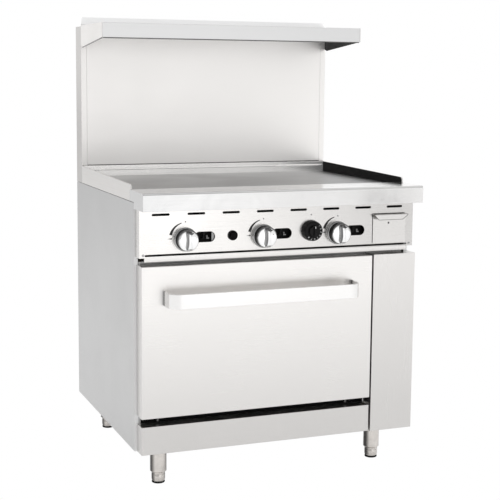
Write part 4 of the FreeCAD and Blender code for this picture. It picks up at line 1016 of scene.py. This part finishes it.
def area_light(name, place, target, size, radiance):
    """Rectangular soft light of a given radiance that the camera does not see."""
    data = bpy.data.lights.new(name, "AREA")
    data.shape = "RECTANGLE"
    data.size, data.size_y = size
    data.energy = radiance * 4 * size[0] * size[1]
    light = bpy.data.objects.new(name, data)
    light.visible_camera = False
    bpy.context.collection.objects.link(light)
    aim = (Vector(target) - Vector(place)).to_track_quat("-Z", "Y")
    light.matrix_world = Matrix.Translation(place) @ aim.to_matrix().to_4x4()


def stage_sheet(name, mesh, material):
    """Finish a bmesh as a part of the stage, out of the camera's direct view."""
    data = bpy.data.meshes.new(name)
    mesh.to_mesh(data)
    mesh.free()
    data.materials.append(MATERIALS[material])
    sheet = bpy.data.objects.new(name, data)
    bpy.context.collection.objects.link(sheet)
    sheet.visible_camera = False
    return sheet


def make_floor():
    """Studio floor; it only sends light back and shows in reflections."""
    mesh = bmesh.new()
    bmesh.ops.create_grid(mesh, x_segments=1, y_segments=1, size=FLOOR_REACH)
    stage_sheet("floor", mesh, "floor_paint")


def make_dark_card():
    """Small dark board that only the polished rim mirrors."""
    mesh = bmesh.new()
    x, y, z = CARD_PLACE
    mesh.faces.new([mesh.verts.new((x + a * CARD_SIZE[0] / 2, y, z + b * CARD_SIZE[1] / 2))
                    for a, b in rectangle(-1, 1, -1, 1)])
    card = stage_sheet("dark_card", mesh, "rubber")
    card.visible_diffuse = False
    card.visible_shadow = False


def make_world():
    """Even white surroundings, dimmer in reflections so that the steel keeps its tones."""
    world = bpy.data.worlds.new("studio")
    world.use_nodes = True
    tree = world.node_tree
    tree.nodes.clear()
    path = tree.nodes.new("ShaderNodeLightPath")
    levels = []
    for level in (WORLD_DIFFUSE, WORLD_MIRRORED, WORLD_SEEN):
        background = tree.nodes.new("ShaderNodeBackground")
        background.inputs["Color"].default_value = grey(level)
        levels.append(background.outputs[0])
    result = levels[0]
    for ray, level in (("Is Glossy Ray", levels[1]), ("Is Camera Ray", levels[2])):
        mix = tree.nodes.new("ShaderNodeMixShader")
        tree.links.new(path.outputs[ray], mix.inputs[0])
        tree.links.new(result, mix.inputs[1])
        tree.links.new(level, mix.inputs[2])
        result = mix.outputs[0]
    output = tree.nodes.new("ShaderNodeOutputWorld")
    tree.links.new(result, output.inputs["Surface"])
    bpy.context.scene.world = world


def make_stage():
    """Floor, soft lights, dark card and surroundings."""
    make_world()
    make_floor()
    for light in LIGHTS:
        area_light(*light)
    make_dark_card()


# ---- build -------------------------------------------------------------------------------
make_camera()
make_materials()
dress_nodes()
for knob_node in KNOBS:
    make_knob(knob_node)
make_bezels()
make_flame_arcs()
make_dial()
make_igniter()
for foot_node in FEET:
    make_foot(foot_node)
make_pilot_hoods()
make_hems()
make_frame_strip()
make_grommet()
make_screws()
make_louvre_hoods()
make_stage()
bpy.context.scene.view_settings.view_transform = "Standard"
